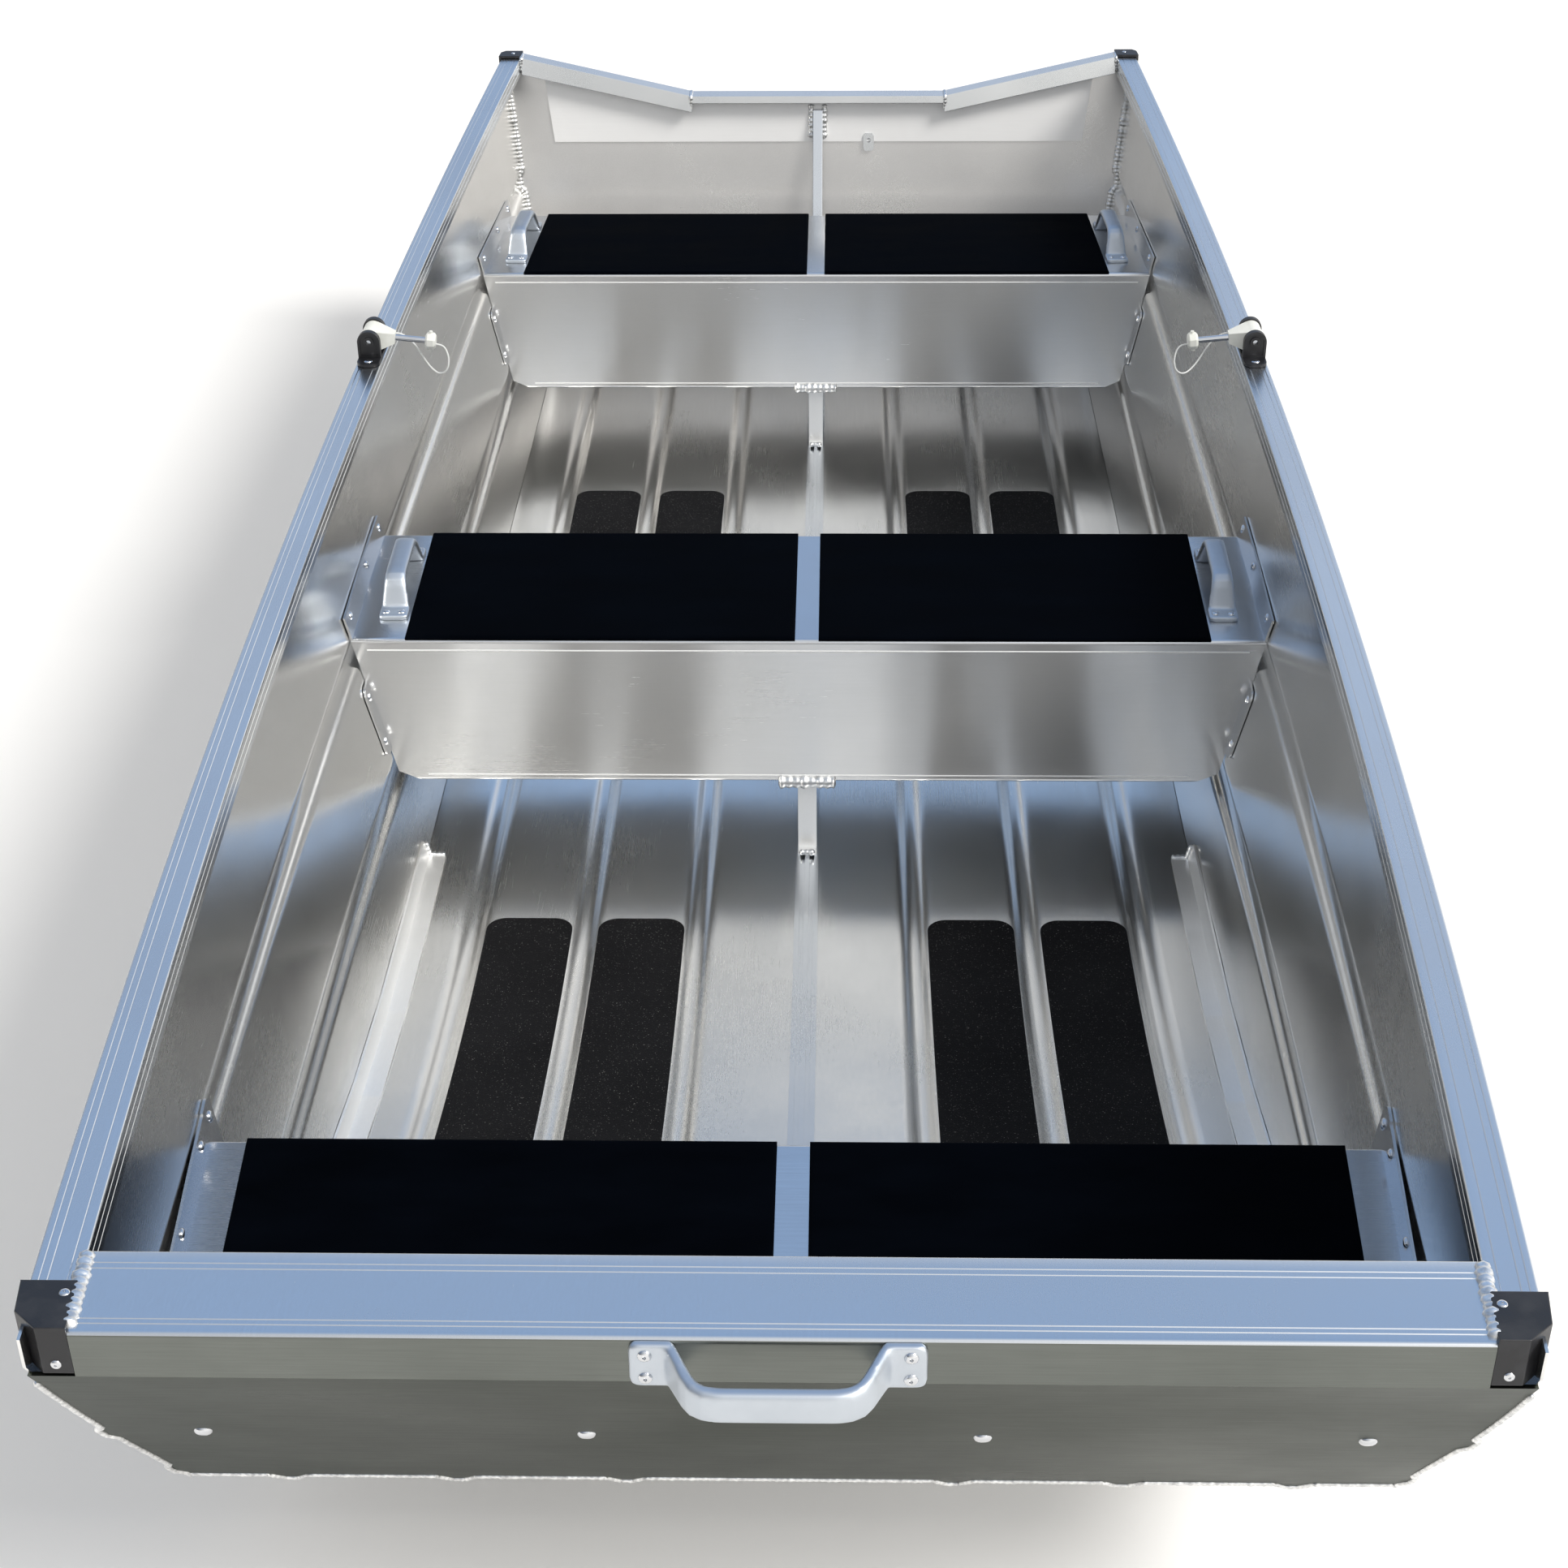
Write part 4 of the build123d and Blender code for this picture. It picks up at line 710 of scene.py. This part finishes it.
def bow_deck():
    fore, aft = NOSE_Y, NOSE_Y + DECK_DEPTH
    high, low = rail_top(fore), rail_top(aft)
    nose = rounded([(fore, high - NOSE_FACE), (fore, high), (aft, low)], DECK_EDGE, 6)
    slope = (Vector((aft, low)) - Vector((fore, high))).normalized()
    top = lined((fore, high), (aft, low), DECK_LINES, (slope.y, -slope.x))
    back = rounded([(fore + DECK_EDGE, high), (aft, low), (aft, low - DECK_LIP)], DECK_BACK_EDGE)
    inner = [(aft - DECK_WALL, low - DECK_LIP), (aft - DECK_WALL, low - DECK_WALL),
             (fore + DECK_WALL, high - DECK_WALL), (fore + DECK_WALL, high - NOSE_FACE)]
    section = nose[:-1] + top + back[1:] + inner
    shape = loft([[(way * (rail_outside(y) - RAIL_WIDTH - WELD_GAP), y, z) for y, z in section]
                  for way in (-1.0, 1.0)])
    piece = add_shapes("bow_deck_bar", [shape], "extrusion", ("bow_deck",), smooth=RAIL_SHARP_ANGLE)
    # Faces looking forward get the dark nose finish, a painted dark reflection.
    piece.data.materials.append(MATERIALS["nose_face_painted_reflection"])
    for face in piece.data.polygons:
        if face.normal.y < -END_FACING:
            face.material_index = 1


# Grit and foam
def grit_strips(node, fore, aft):
    strips = []
    rows = [fore + (aft - GRIT_CORNER - fore) * step / GRIT_ROWS for step in range(GRIT_ROWS + 1)]
    rows += [aft - GRIT_CORNER + GRIT_CORNER * math.sin(math.pi / 2 * step / GRIT_CORNER_ROWS)
             for step in range(1, GRIT_CORNER_ROWS + 1)]
    for middle in [-place for place in GRIT_MIDDLES] + list(GRIT_MIDDLES):
        rings = []
        for along in rows:
            beyond = max(0.0, along - (aft - GRIT_CORNER))
            half = GRIT_WIDTH / 2 - GRIT_CORNER + math.sqrt(max(GRIT_CORNER ** 2 - beyond ** 2, 0.0))
            low, high = FLOOR - GRIT_SUNK, FLOOR + GRIT_TOP
            rings.append([on_floor(middle - half, low, along), on_floor(middle - half, high, along),
                          on_floor(middle + half, high, along), on_floor(middle + half, low, along)])
        strips.append(loft(rings))
    add_shapes(node + "_tape", strips, "grit_tape", (node,))


def steps_from_edges(length, count):
    """Distances across a pad, close together near its two edges."""
    edge = list(PAD_EDGE)
    inner = [edge[-1] + (length - 2 * edge[-1]) * step / count for step in range(1, count)]
    return edge + inner + [length - place for place in edge[::-1]]


def seat_pad(node, corners, z, seed):
    """A sheet of foam with softened edges, flat where it lies and faintly uneven on top."""
    chance = random.Random(seed + SEED)
    fore_in, fore_out, aft_out, aft_in = (Vector(corner) for corner in corners)
    wide, deep = (fore_out - fore_in).length, (aft_in - fore_in).length
    across, back = steps_from_edges(wide, PAD_COLUMNS), steps_from_edges(deep, PAD_ROWS)
    phases = [chance.uniform(0, math.tau) for _ in range(4)]
    top, under = [], []
    for v in back:
        for u in across:
            share, far = u / wide, v / deep
            fore_spot = fore_in * (1 - share) + fore_out * share
            aft_spot = aft_in * (1 - share) + aft_out * share
            spot = fore_spot * (1 - far) + aft_spot * far
            edge = min(u, wide - u, v, deep - v)
            fall = max(0.0, 1.0 - edge / PAD_ROUNDING)
            wave = math.sin(u / WAVES_ACROSS[0] + phases[0]) * math.sin(v / WAVES_BACK[0] + phases[1])
            wave += math.sin(u / WAVES_ACROSS[1] + phases[2]) * math.sin(v / WAVES_BACK[1] + phases[3])
            height = PAD * (1 - 0.5 * fall ** 2) + PAD_UNEVEN * wave * (1 - fall)
            top.append((spot.x, spot.y, z + height))
            under.append((spot.x, spot.y, z))
    columns, rows = len(across), len(back)
    faces = [(r * columns + c, r * columns + c + 1, (r + 1) * columns + c + 1, (r + 1) * columns + c)
             for r in range(rows - 1) for c in range(columns - 1)]
    faces += [tuple(index + len(top) for index in face[::-1]) for face in faces]
    rim = list(range(columns))
    rim += [r * columns + columns - 1 for r in range(1, rows)]
    rim += [(rows - 1) * columns + c for c in range(columns - 2, -1, -1)]
    rim += [r * columns for r in range(rows - 2, 0, -1)]
    faces += [(a, b, b + len(top), a + len(top)) for a, b in zip(rim, rim[1:] + rim[:1])]
    shape = (top + under, faces)
    piece = add_shapes(node + "_foam", [shape], "seat_foam", (node,), smooth=PAD_SHARP_ANGLE)


def seat_pads():
    places = [("bow", BOW_END.y_at(BOW_SEAT_TOP, PLATE) + BOW_PAD_FORE, BOW_SEAT_AFT, BOW_SEAT_TOP,
               BOW_PAD_MARGIN)]
    places += [(name, fore, fore + SEAT_DEPTH, SEAT_TOP, PAD_MARGIN) for name, fore in SEAT_FORE.items()]
    for number, (name, fore, aft, z, margin) in enumerate(places):
        for side, way in SIDES:
            inner = PAD_CENTRE_GAP / 2
            corners = [(way * inner, fore), (way * (side_x(fore, z) - margin), fore),
                       (way * (side_x(aft, z) - margin), aft), (way * inner, aft)]
            seat_pad("%s_seat_pad_%s" % (name, side), corners, z, 10 * number + int(way))


# Castings
def handle_mesh():
    """The carrying handle: two feet, splayed arms and a grip in one casting, feet down and grip along X."""
    shapes = []
    levels = [(0.0, 0.0)] + [(HANDLE_FOOT_THICK - below, inset) for below, inset in FOOT_EDGE]
    for way in (1.0, -1.0):
        rings = []
        for z, inset in levels:
            outer, half = HANDLE_LENGTH / 2 - inset, FOOT_HALF_WIDTH - inset
            plan = [(FOOT_INNER, -half), (outer, -half), (outer, half), (FOOT_INNER, half)]
            rings.append([(way * x, y, z) for x, y in rounded(plan, FOOT_CORNER, 4, closed=True)])
        shapes.append(loft(rings))
    line = list(HANDLE_LINE) + [(-out, up, wide, thick) for out, up, wide, thick in HANDLE_LINE[-2::-1]]
    rings = []
    for number, (out, up, wide, thick) in enumerate(line):
        before, after = line[max(number - 1, 0)], line[min(number + 1, len(line) - 1)]
        along = Vector((after[0] - before[0], after[1] - before[1])).normalized()
        rings.append([])
        for turn in turns(HANDLE_SIDES):
            y = math.copysign(abs(math.cos(turn)) ** HANDLE_SQUARENESS, math.cos(turn)) * wide / 2
            deep = math.copysign(abs(math.sin(turn)) ** HANDLE_SQUARENESS, math.sin(turn)) * thick / 2
            rings[-1].append((out - along.y * deep, y, up + along.x * deep))
    shapes.append(loft(rings))
    rough = add_object("handle_pattern", new_mesh("handle_pattern", merged(shapes), (), SHARP_ANGLE))
    remesh = rough.modifiers.new("remesh", "REMESH")
    remesh.mode = "VOXEL"
    remesh.voxel_size = HANDLE_VOXEL
    relax = rough.modifiers.new("relax", "SMOOTH")
    relax.iterations = 5
    mesh = bpy.data.meshes.new_from_object(rough.evaluated_get(bpy.context.evaluated_depsgraph_get()))
    bpy.data.objects.remove(rough)
    mesh.shade_smooth()
    return mesh


def handle_places():
    """Where each handle stands: its node, and the turn and place of its feet's middle."""
    z = rail_top(NOSE_Y) - NOSE_FACE / 2
    places = [("bow_handle", Matrix.Translation((0, NOSE_Y, z)) @ Matrix.Rotation(math.pi / 2, 4, "X"))]
    half = HANDLE_LENGTH / 2
    for name, fore in SEAT_FORE.items():
        y = fore + SEAT_DEPTH / 2
        turn = math.atan2(HANDLE_LENGTH, side_x(y + half, SEAT_TOP) - side_x(y - half, SEAT_TOP))
        x = side_x(y, SEAT_TOP) - HANDLE_FROM_SIDE
        for side, way in SIDES:
            place = Matrix.Translation((way * x, y, SEAT_TOP)) @ Matrix.Rotation(way * turn, 4, "Z")
            places.append(("%s_seat_handle_%s" % (name, side), place))
    return places


def handles():
    pattern = handle_mesh()
    screws = []
    for node, place in handle_places():
        mesh = pattern.copy()
        mesh.transform(Matrix.Scale(MILLIMETRE, 4) @ place @ Matrix.Scale(1 / MILLIMETRE, 4))
        add_piece(node + "_casting", mesh, "cast_handle", nodes=(node,))
        for x, y in HANDLE_SCREWS:
            head = place @ Vector((x, y, HANDLE_FOOT_THICK - SCREW_SUNK))
            screws.append(dome(head, place.to_3x3() @ Vector((0, 0, 1)), *HANDLE_SCREW, recess=True))
    add_shapes("handle_screws", screws, "pin_steel")


# Rivets, bolts and screws
def on_tab(y, z, way):
    """A place on a seat's tab against the side, and the direction that it looks in."""
    inboard = side_inboard(y)
    place = Vector((side_x(y, z), y, z)) + inboard * TAB_PROUD
    return Vector((way * place.x, place.y, place.z)), Vector((way * inboard.x, 0, inboard.z))


def seat_rivets():
    spots = []
    for fore in SEAT_FORE.values():
        spots += [(fore + far, SEAT_TOP + RIVETS_ABOVE_SEAT) for far in TAB_RIVETS]
        for y in (fore - TAB_BEYOND_SEAT, fore + SEAT_DEPTH + TAB_BEYOND_SEAT):
            spots += [(y, SEAT_UNDER + up) for up in TAB_RIVETS_UP]
    under = bottom_height(BOW_SEAT_AFT, FLOOR) + SEAT_UNDER - FLOOR
    spots += [(BOW_SEAT_AFT - far, BOW_SEAT_TOP + RIVETS_ABOVE_SEAT) for far in BOW_TAB_RIVETS]
    spots += [(BOW_SEAT_AFT + TAB_BEYOND_SEAT, under + up) for up in TAB_RIVETS_UP]
    heads = [dome(*on_tab(y, z, way), *RIVET) for y, z in spots for _, way in SIDES]
    add_shapes("seat_rivets", heads, "pin_steel")


def bow_bolts():
    y = BOW_END.y_at(BOW_BOLTS_Z)
    heads = [dome((x, y, BOW_BOLTS_Z), BOW_END.outward, *BOLT) for x in BOW_BOLTS_X]
    add_shapes("bow_bolts", heads, "pin_steel")


def cap_screws():
    heads = []
    for _, way in SIDES:
        for y, inboard, up, normal in CAP_SCREWS:
            place = (way * (rail_outside(y) - inboard), y, rail_top(y) + up)
            heads.append(dome(place, normal, *CAP_SCREW, recess=True))
    add_shapes("cap_screws", heads, "pin_steel")


def oarlock_bolts():
    heads, domes = [], []
    base_z = rail_top(OARLOCK_Y + EAR_OUTER + BASE_FOOT)
    for _, way in SIDES:
        x = way * (rail_outside(OARLOCK_Y) - RAIL_WIDTH / 2)
        for end in (-1, 1):
            y = OARLOCK_Y + end * (EAR_OUTER + BOLT_BEYOND_EAR)
            heads.append(dome((x, y, base_z + BASE_PLATE), (0, 0, 1), *OARLOCK_BOLT))
        y = OARLOCK_Y + EAR_OUTER - DOME_SUNK
        domes.append(dome((x, y, base_z + HINGE_HEIGHT), (0, 1, 0), *HINGE_DOME))
    add_shapes("oarlock_bolts", heads, "pin_steel")
    add_shapes("oarlock_hinge_domes", domes, "black_plastic")


# Welds
def bow_outline():
    """The bow plate's outer edge from its starboard top corner round the bottom to the keel line."""
    points = []
    for number in range(1, len(side_path(MIDDLE_Y, SHEET))):
        def line(y, number=number):
            x, z = side_path(y, SHEET)[number]
            return Vector((x, y, z))
        place = BOW_END.meets(line, RAKE_Y, NOSE_Y - PAST_END)
        if place.z < rail_top(NOSE_Y) - NOSE_FACE:
            points.append(place)
    for z in BOW_BEAD_HEIGHTS:
        y = BOW_END.y_at(z)
        points.insert(0, Vector((side_x(y, z) + SHEET, y, z)))
    half = [point for point in bottom_path(0.0) if point[0] >= 0][::-1]
    for x, above in half:
        points.append(BOW_END.meets(lambda along: on_floor(x, above, along), RAKE_Y, RAKE_Y - PAST_RAKE))
    return points


def stern_corner():
    """Down the starboard corner between the side's inner face and the transom, over the grooves."""
    points = []
    for number in range(1, len(side_path(MIDDLE_Y, 0.0))):
        def line(y, number=number):
            x, z = side_path(y, 0.0)[number]
            return Vector((x - CORNER_FROM_SIDE, y, z))
        place = STERN_END.meets(line, MIDDLE_Y, STERN_Y + PAST_END)
        points.append(place - STERN_END.outward * (PLATE + CORNER_FROM_END))
    return points


def side_welds(way, seed):
    """The beads on one side: deck, transom corner, transom rails, chine strip and brace."""
    top = rail_top(STERN_Y)
    dip = top - TRANSOM_DIP
    deck = [(way * (rail_outside(y) - RAIL_WIDTH), y, rail_top(y) - 1.5)
            for y in (NOSE_Y + 6, NOSE_Y + DECK_DEPTH - 4)]
    corner = [(way * point.x, point.y, point.z) for point in stern_corner()]
    x, y = way * (DIP_HALF_WIDTH + 1), STERN_END.y_at(dip)
    joint = [(x, y - RAIL_JOINT, dip - 22), (x, y - RAIL_JOINT, dip), (x, y + 1, dip)]
    x, y = way * (rail_outside(STERN_Y) - RAIL_WIDTH), STERN_END.y_at(top)
    end = [(x, y - RAIL_JOINT, top - 20), (x, y - RAIL_JOINT, top), (x, STERN_Y - 6, top)]
    chine = [(way * (HALF_BOTTOM + out), CHINE_AFT_Y + 1, FLOOR + up)
             for out, up in CHINE_BEAD_PATH]
    brace = [(way * 11, STERN_END.y_at(z, 2 * PLATE + 1), z) for z in (dip - 18, dip - 72)]
    foot_y = STERN_END.y_at(FLOOR + 7, PLATE) - 95
    brace_foot = [(way * 9.0, foot_y - 10, FLOOR + 8), (way * 9.0, foot_y + 4, FLOOR + 8)]
    beads = ((deck, DECK_BEAD), (corner, CORNER_BEAD), (joint, DIP_BEAD), (end, RAIL_BEAD),
             (chine, CHINE_BEAD), (brace, BRACE_BEAD), (brace_foot, BRACE_FOOT_BEAD))
    return [weld_bead(path, *bead, seed + number) for number, (path, bead) in enumerate(beads)]


def welds():
    outline = bow_outline()
    port = [Vector((-point.x, point.y, point.z)) for point in outline[-2::-1]]
    beads = [weld_bead(outline + port, *BOW_BEAD, 1)]
    for number, (_, way) in enumerate(SIDES):
        beads += side_welds(way, 20 * number + 2)
    z = rail_top(STERN_Y) - TRANSOM_DIP - 14
    y = STERN_END.y_at(z, 2 * PLATE)
    beads.append(weld_bead([(-DIP_HALF_WIDTH, y, z), (DIP_HALF_WIDTH, y, z)], *CENTRE_RAIL_BEAD, 60))
    for number, fore in enumerate(SEAT_FORE.values()):
        for half, y, z, bead, seed in ((34, fore - 1, SEAT_UNDER + 1, POST_BEAD, 70),
                                       (9, fore - 15, FLOOR + 10, POST_FOOT_BEAD, 80)):
            beads.append(weld_bead([(-half, y, z), (half, y, z)], *bead, seed + number))
    add_shapes("weld_beads", beads, "weld_metal", smooth=WELD_SHARP_ANGLE)


def seat_fold_highlights():
    """Painted highlights by both folds along a seat's front face: thin raised bars in a near-white finish."""
    bars = []
    for fore in SEAT_FORE.values():
        for z, margin in FOLD_HIGHLIGHT_LINES:
            half = side_x(fore, z) - margin
            front = fore - FOLD_HIGHLIGHT_PROUD
            section = ((fore, z - FOLD_HIGHLIGHT_HALF), (front, z - FOLD_HIGHLIGHT_HALF / 2),
                       (front, z + FOLD_HIGHLIGHT_HALF / 2), (fore, z + FOLD_HIGHLIGHT_HALF))
            bars.append(loft([[(x, y, height) for y, height in section] for x in (-half, half)]))
    add_shapes("seat_fold_highlights", bars, "painted_light_sheet")


# Transom clip
def transom_clip():
    """A small clip with a hole, on the doubler's lower edge."""
    middle_x, half_width = (CLIP_LEFT + CLIP_RIGHT) / 2, (CLIP_RIGHT - CLIP_LEFT) / 2
    middle_z, half_height = (CLIP_TOP + CLIP_LOW) / 2, (CLIP_TOP - CLIP_LOW) / 2
    hole, rim = [], []
    for turn in turns(CLIP_SIDES):
        across, up = math.cos(turn), math.sin(turn)
        hole.append((middle_x + CLIP_HOLE * across, middle_z + CLIP_HOLE_UP + CLIP_HOLE * up))
        reach = 1 / max(abs(across) / half_width, abs(up) / half_height)
        rim.append((middle_x + reach * across, middle_z + reach * up))

    def placed(points, inside):
        return [(x, STERN_END.y_at(z, inside), z) for x, z in points]
    near, far = 2 * PLATE + CLIP_NEAR, 2 * PLATE + CLIP_FAR
    rings = [placed(hole, near), placed(rim, near), placed(rim, far), placed(hole, far), placed(hole, near)]
    add_shapes("transom_clip", [loft(rings, ends=False)], "extrusion")


# Tether
def tether(side, way):
    """The limp cord from the block's side to the knob's end."""
    joint = next(row for row in frame["joints"] if row["name"] == "oarlock_turn_" + side)
    hinge = Vector(joint["pos_m"])
    droop = Matrix.Rotation(-way * PIN_DROOP, 3, "Y")
    points = [hinge + droop @ Vector((way * (x * MILLIMETRE - BLOCK_REACH), y * MILLIMETRE, z * MILLIMETRE))
              for x, y, z in TETHER_ROUTE]
    curve = bpy.data.curves.new("tether_" + side, "CURVE")
    curve.dimensions = "3D"
    curve.bevel_depth = TETHER_RADIUS
    curve.bevel_resolution = 4
    curve.resolution_u = 16
    spline = curve.splines.new("NURBS")
    spline.points.add(len(points) - 1)
    for point, place in zip(spline.points, points):
        point.co = (*place, 1.0)
    spline.order_u = 3
    spline.use_endpoint_u = True
    piece = add_object("tether_" + side, curve)
    dress(piece, "tether_cord")
    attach(piece, "oarlock_" + side)
    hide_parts("oarlock_tether_" + side)
    tuple(points[0])


def dress_nodes():
    """The record's material slot of each node gives its finish."""
    for row in frame["record"]["subparts"]:
        node = row["node"]
        dress(frame["nodes"][node], FINISH.get(node, row["material_slot"]))
    # The mid and stern seats' faces that look along the boat get the lighter seat finish, which is painted light.
    for node in ("mid_seat", "stern_seat"):
        mesh = frame["nodes"][node].data
        mesh.materials.append(MATERIALS["seat_face_painted_light"])
        for face in mesh.polygons:
            face.material_index = 1 if abs(face.normal.y) > END_FACING else 0
    for node in SOFT_EDGES:
        tied = frame["nodes"][node].modifiers.new("tied", "WELD")
        tied.merge_threshold = 0.00002
        soft = frame["nodes"][node].modifiers.new("soft", "BEVEL")
        soft.width = SOFT_EDGE
        soft.segments = 2
        soft.limit_method = "ANGLE"
        soft.angle_limit = SHARP_ANGLE


# Camera, floor and light
def add_camera():
    cos, sin = math.cos, math.sin
    ahead = Vector((sin(CAMERA_YAW) * cos(CAMERA_PITCH), cos(CAMERA_YAW) * cos(CAMERA_PITCH),
                    -sin(CAMERA_PITCH)))
    level = Vector((cos(CAMERA_YAW), -sin(CAMERA_YAW), 0))
    down = ahead.cross(level)
    right = level * cos(CAMERA_ROLL) + down * sin(CAMERA_ROLL)
    down = down * cos(CAMERA_ROLL) - level * sin(CAMERA_ROLL)
    camera = add_object("camera", bpy.data.cameras.new("camera"))
    camera.data.sensor_width = SENSOR
    camera.data.lens = SENSOR * FOCAL_PIXELS / PHOTO_PIXELS
    turned = Matrix((right, -down, -ahead)).transposed().to_4x4()
    camera.matrix_world = Matrix.Translation(CAMERA_PLACE) @ turned
    bpy.context.scene.camera = camera


def add_floor():
    mesh = bpy.data.meshes.new("floor")
    reach = FLOOR_REACH
    mesh.from_pydata([(-reach, -reach, 0), (reach, -reach, 0), (reach, reach, 0), (-reach, reach, 0)], [],
                     [(0, 1, 2, 3)])
    floor = add_object("floor", mesh)
    material, _, shader = new_material("floor")
    shader.inputs["Base Color"].default_value = FLOOR_COLOUR
    shader.inputs["Roughness"].default_value = 0.9
    shader.inputs["Specular IOR Level"].default_value = 0.0
    mesh.materials.append(material)


def add_world():
    """White to the camera and a plain level elsewhere, but in reflections a blue sky aft over a
    horizon that is warm and bright to starboard, where the sun stands, and grey to port."""
    world = bpy.data.worlds.new("world")
    world.use_nodes = True
    bpy.context.scene.world = world
    tree = world.node_tree
    shades = [tree.nodes["Background"]] + [add_node(tree, "ShaderNodeBackground") for _ in range(2)]
    for shade, strength in zip(shades, (AMBIENT, 1.0, 1.0)):
        shade.inputs["Color"].default_value = WHITE
        shade.inputs["Strength"].default_value = strength
    plain, mirrored, seen = (shade.outputs["Background"] for shade in shades)

    place = add_node(tree, "ShaderNodeTexCoord")
    split = add_node(tree, "ShaderNodeSeparateXYZ")
    tree.links.new(place.outputs["Generated"], split.inputs["Vector"])
    blue = combine(tree, "MULTIPLY", spread(tree, split.outputs["Z"], 0.0, 1.0, 0.06, 0.42),
                   spread(tree, split.outputs["Y"], 0.35, 1.0, -0.35, 0.45))
    sunward = spread(tree, split.outputs["X"], 0.0, 1.0, -0.7, 0.4)
    horizon = two_colours(tree, sunward, HORIZON_TO_PORT, HORIZON_TO_STARBOARD)
    sky = two_colours(tree, blue, (1, 1, 1), HIGH_SKY_AFT)
    tree.links.new(horizon, sky.node.inputs["A"])
    tree.links.new(sky, shades[1].inputs["Color"])

    path = add_node(tree, "ShaderNodeLightPath")
    shiny = combine(tree, "MAXIMUM", path.outputs["Is Glossy Ray"], path.outputs["Is Transmission Ray"])
    around = mixed_shaders(tree, shiny, plain, mirrored)
    around = mixed_shaders(tree, path.outputs["Is Camera Ray"], around, seen)
    tree.links.new(around, tree.nodes["World Output"].inputs["Surface"])


def add_key():
    """A soft sun from starboard and a little forward."""
    light = bpy.data.lights.new("key", "SUN")
    light.energy = KEY_STRENGTH
    light.angle = KEY_ANGLE
    light.color = KEY_COLOUR
    lamp = add_object("key", light)
    lamp.rotation_mode = "QUATERNION"
    lamp.rotation_quaternion = KEY_FROM.to_track_quat("Z", "Y")


bpy.context.scene.view_settings.view_transform = "Standard"
add_camera()
for side, way in SIDES:
    tether(side, way)
dress_nodes()
hull_bottom()
bow_deck()
for side, way in SIDES:
    hull_side(side, way)
    gunwale(side, way)
for node, fore, aft in GRIT_ENDS:
    grit_strips(node, fore, aft)
seat_pads()
handles()
seat_rivets()
bow_bolts()
cap_screws()
oarlock_bolts()
welds()
seat_fold_highlights()
transom_clip()
add_floor()
add_world()
add_key()
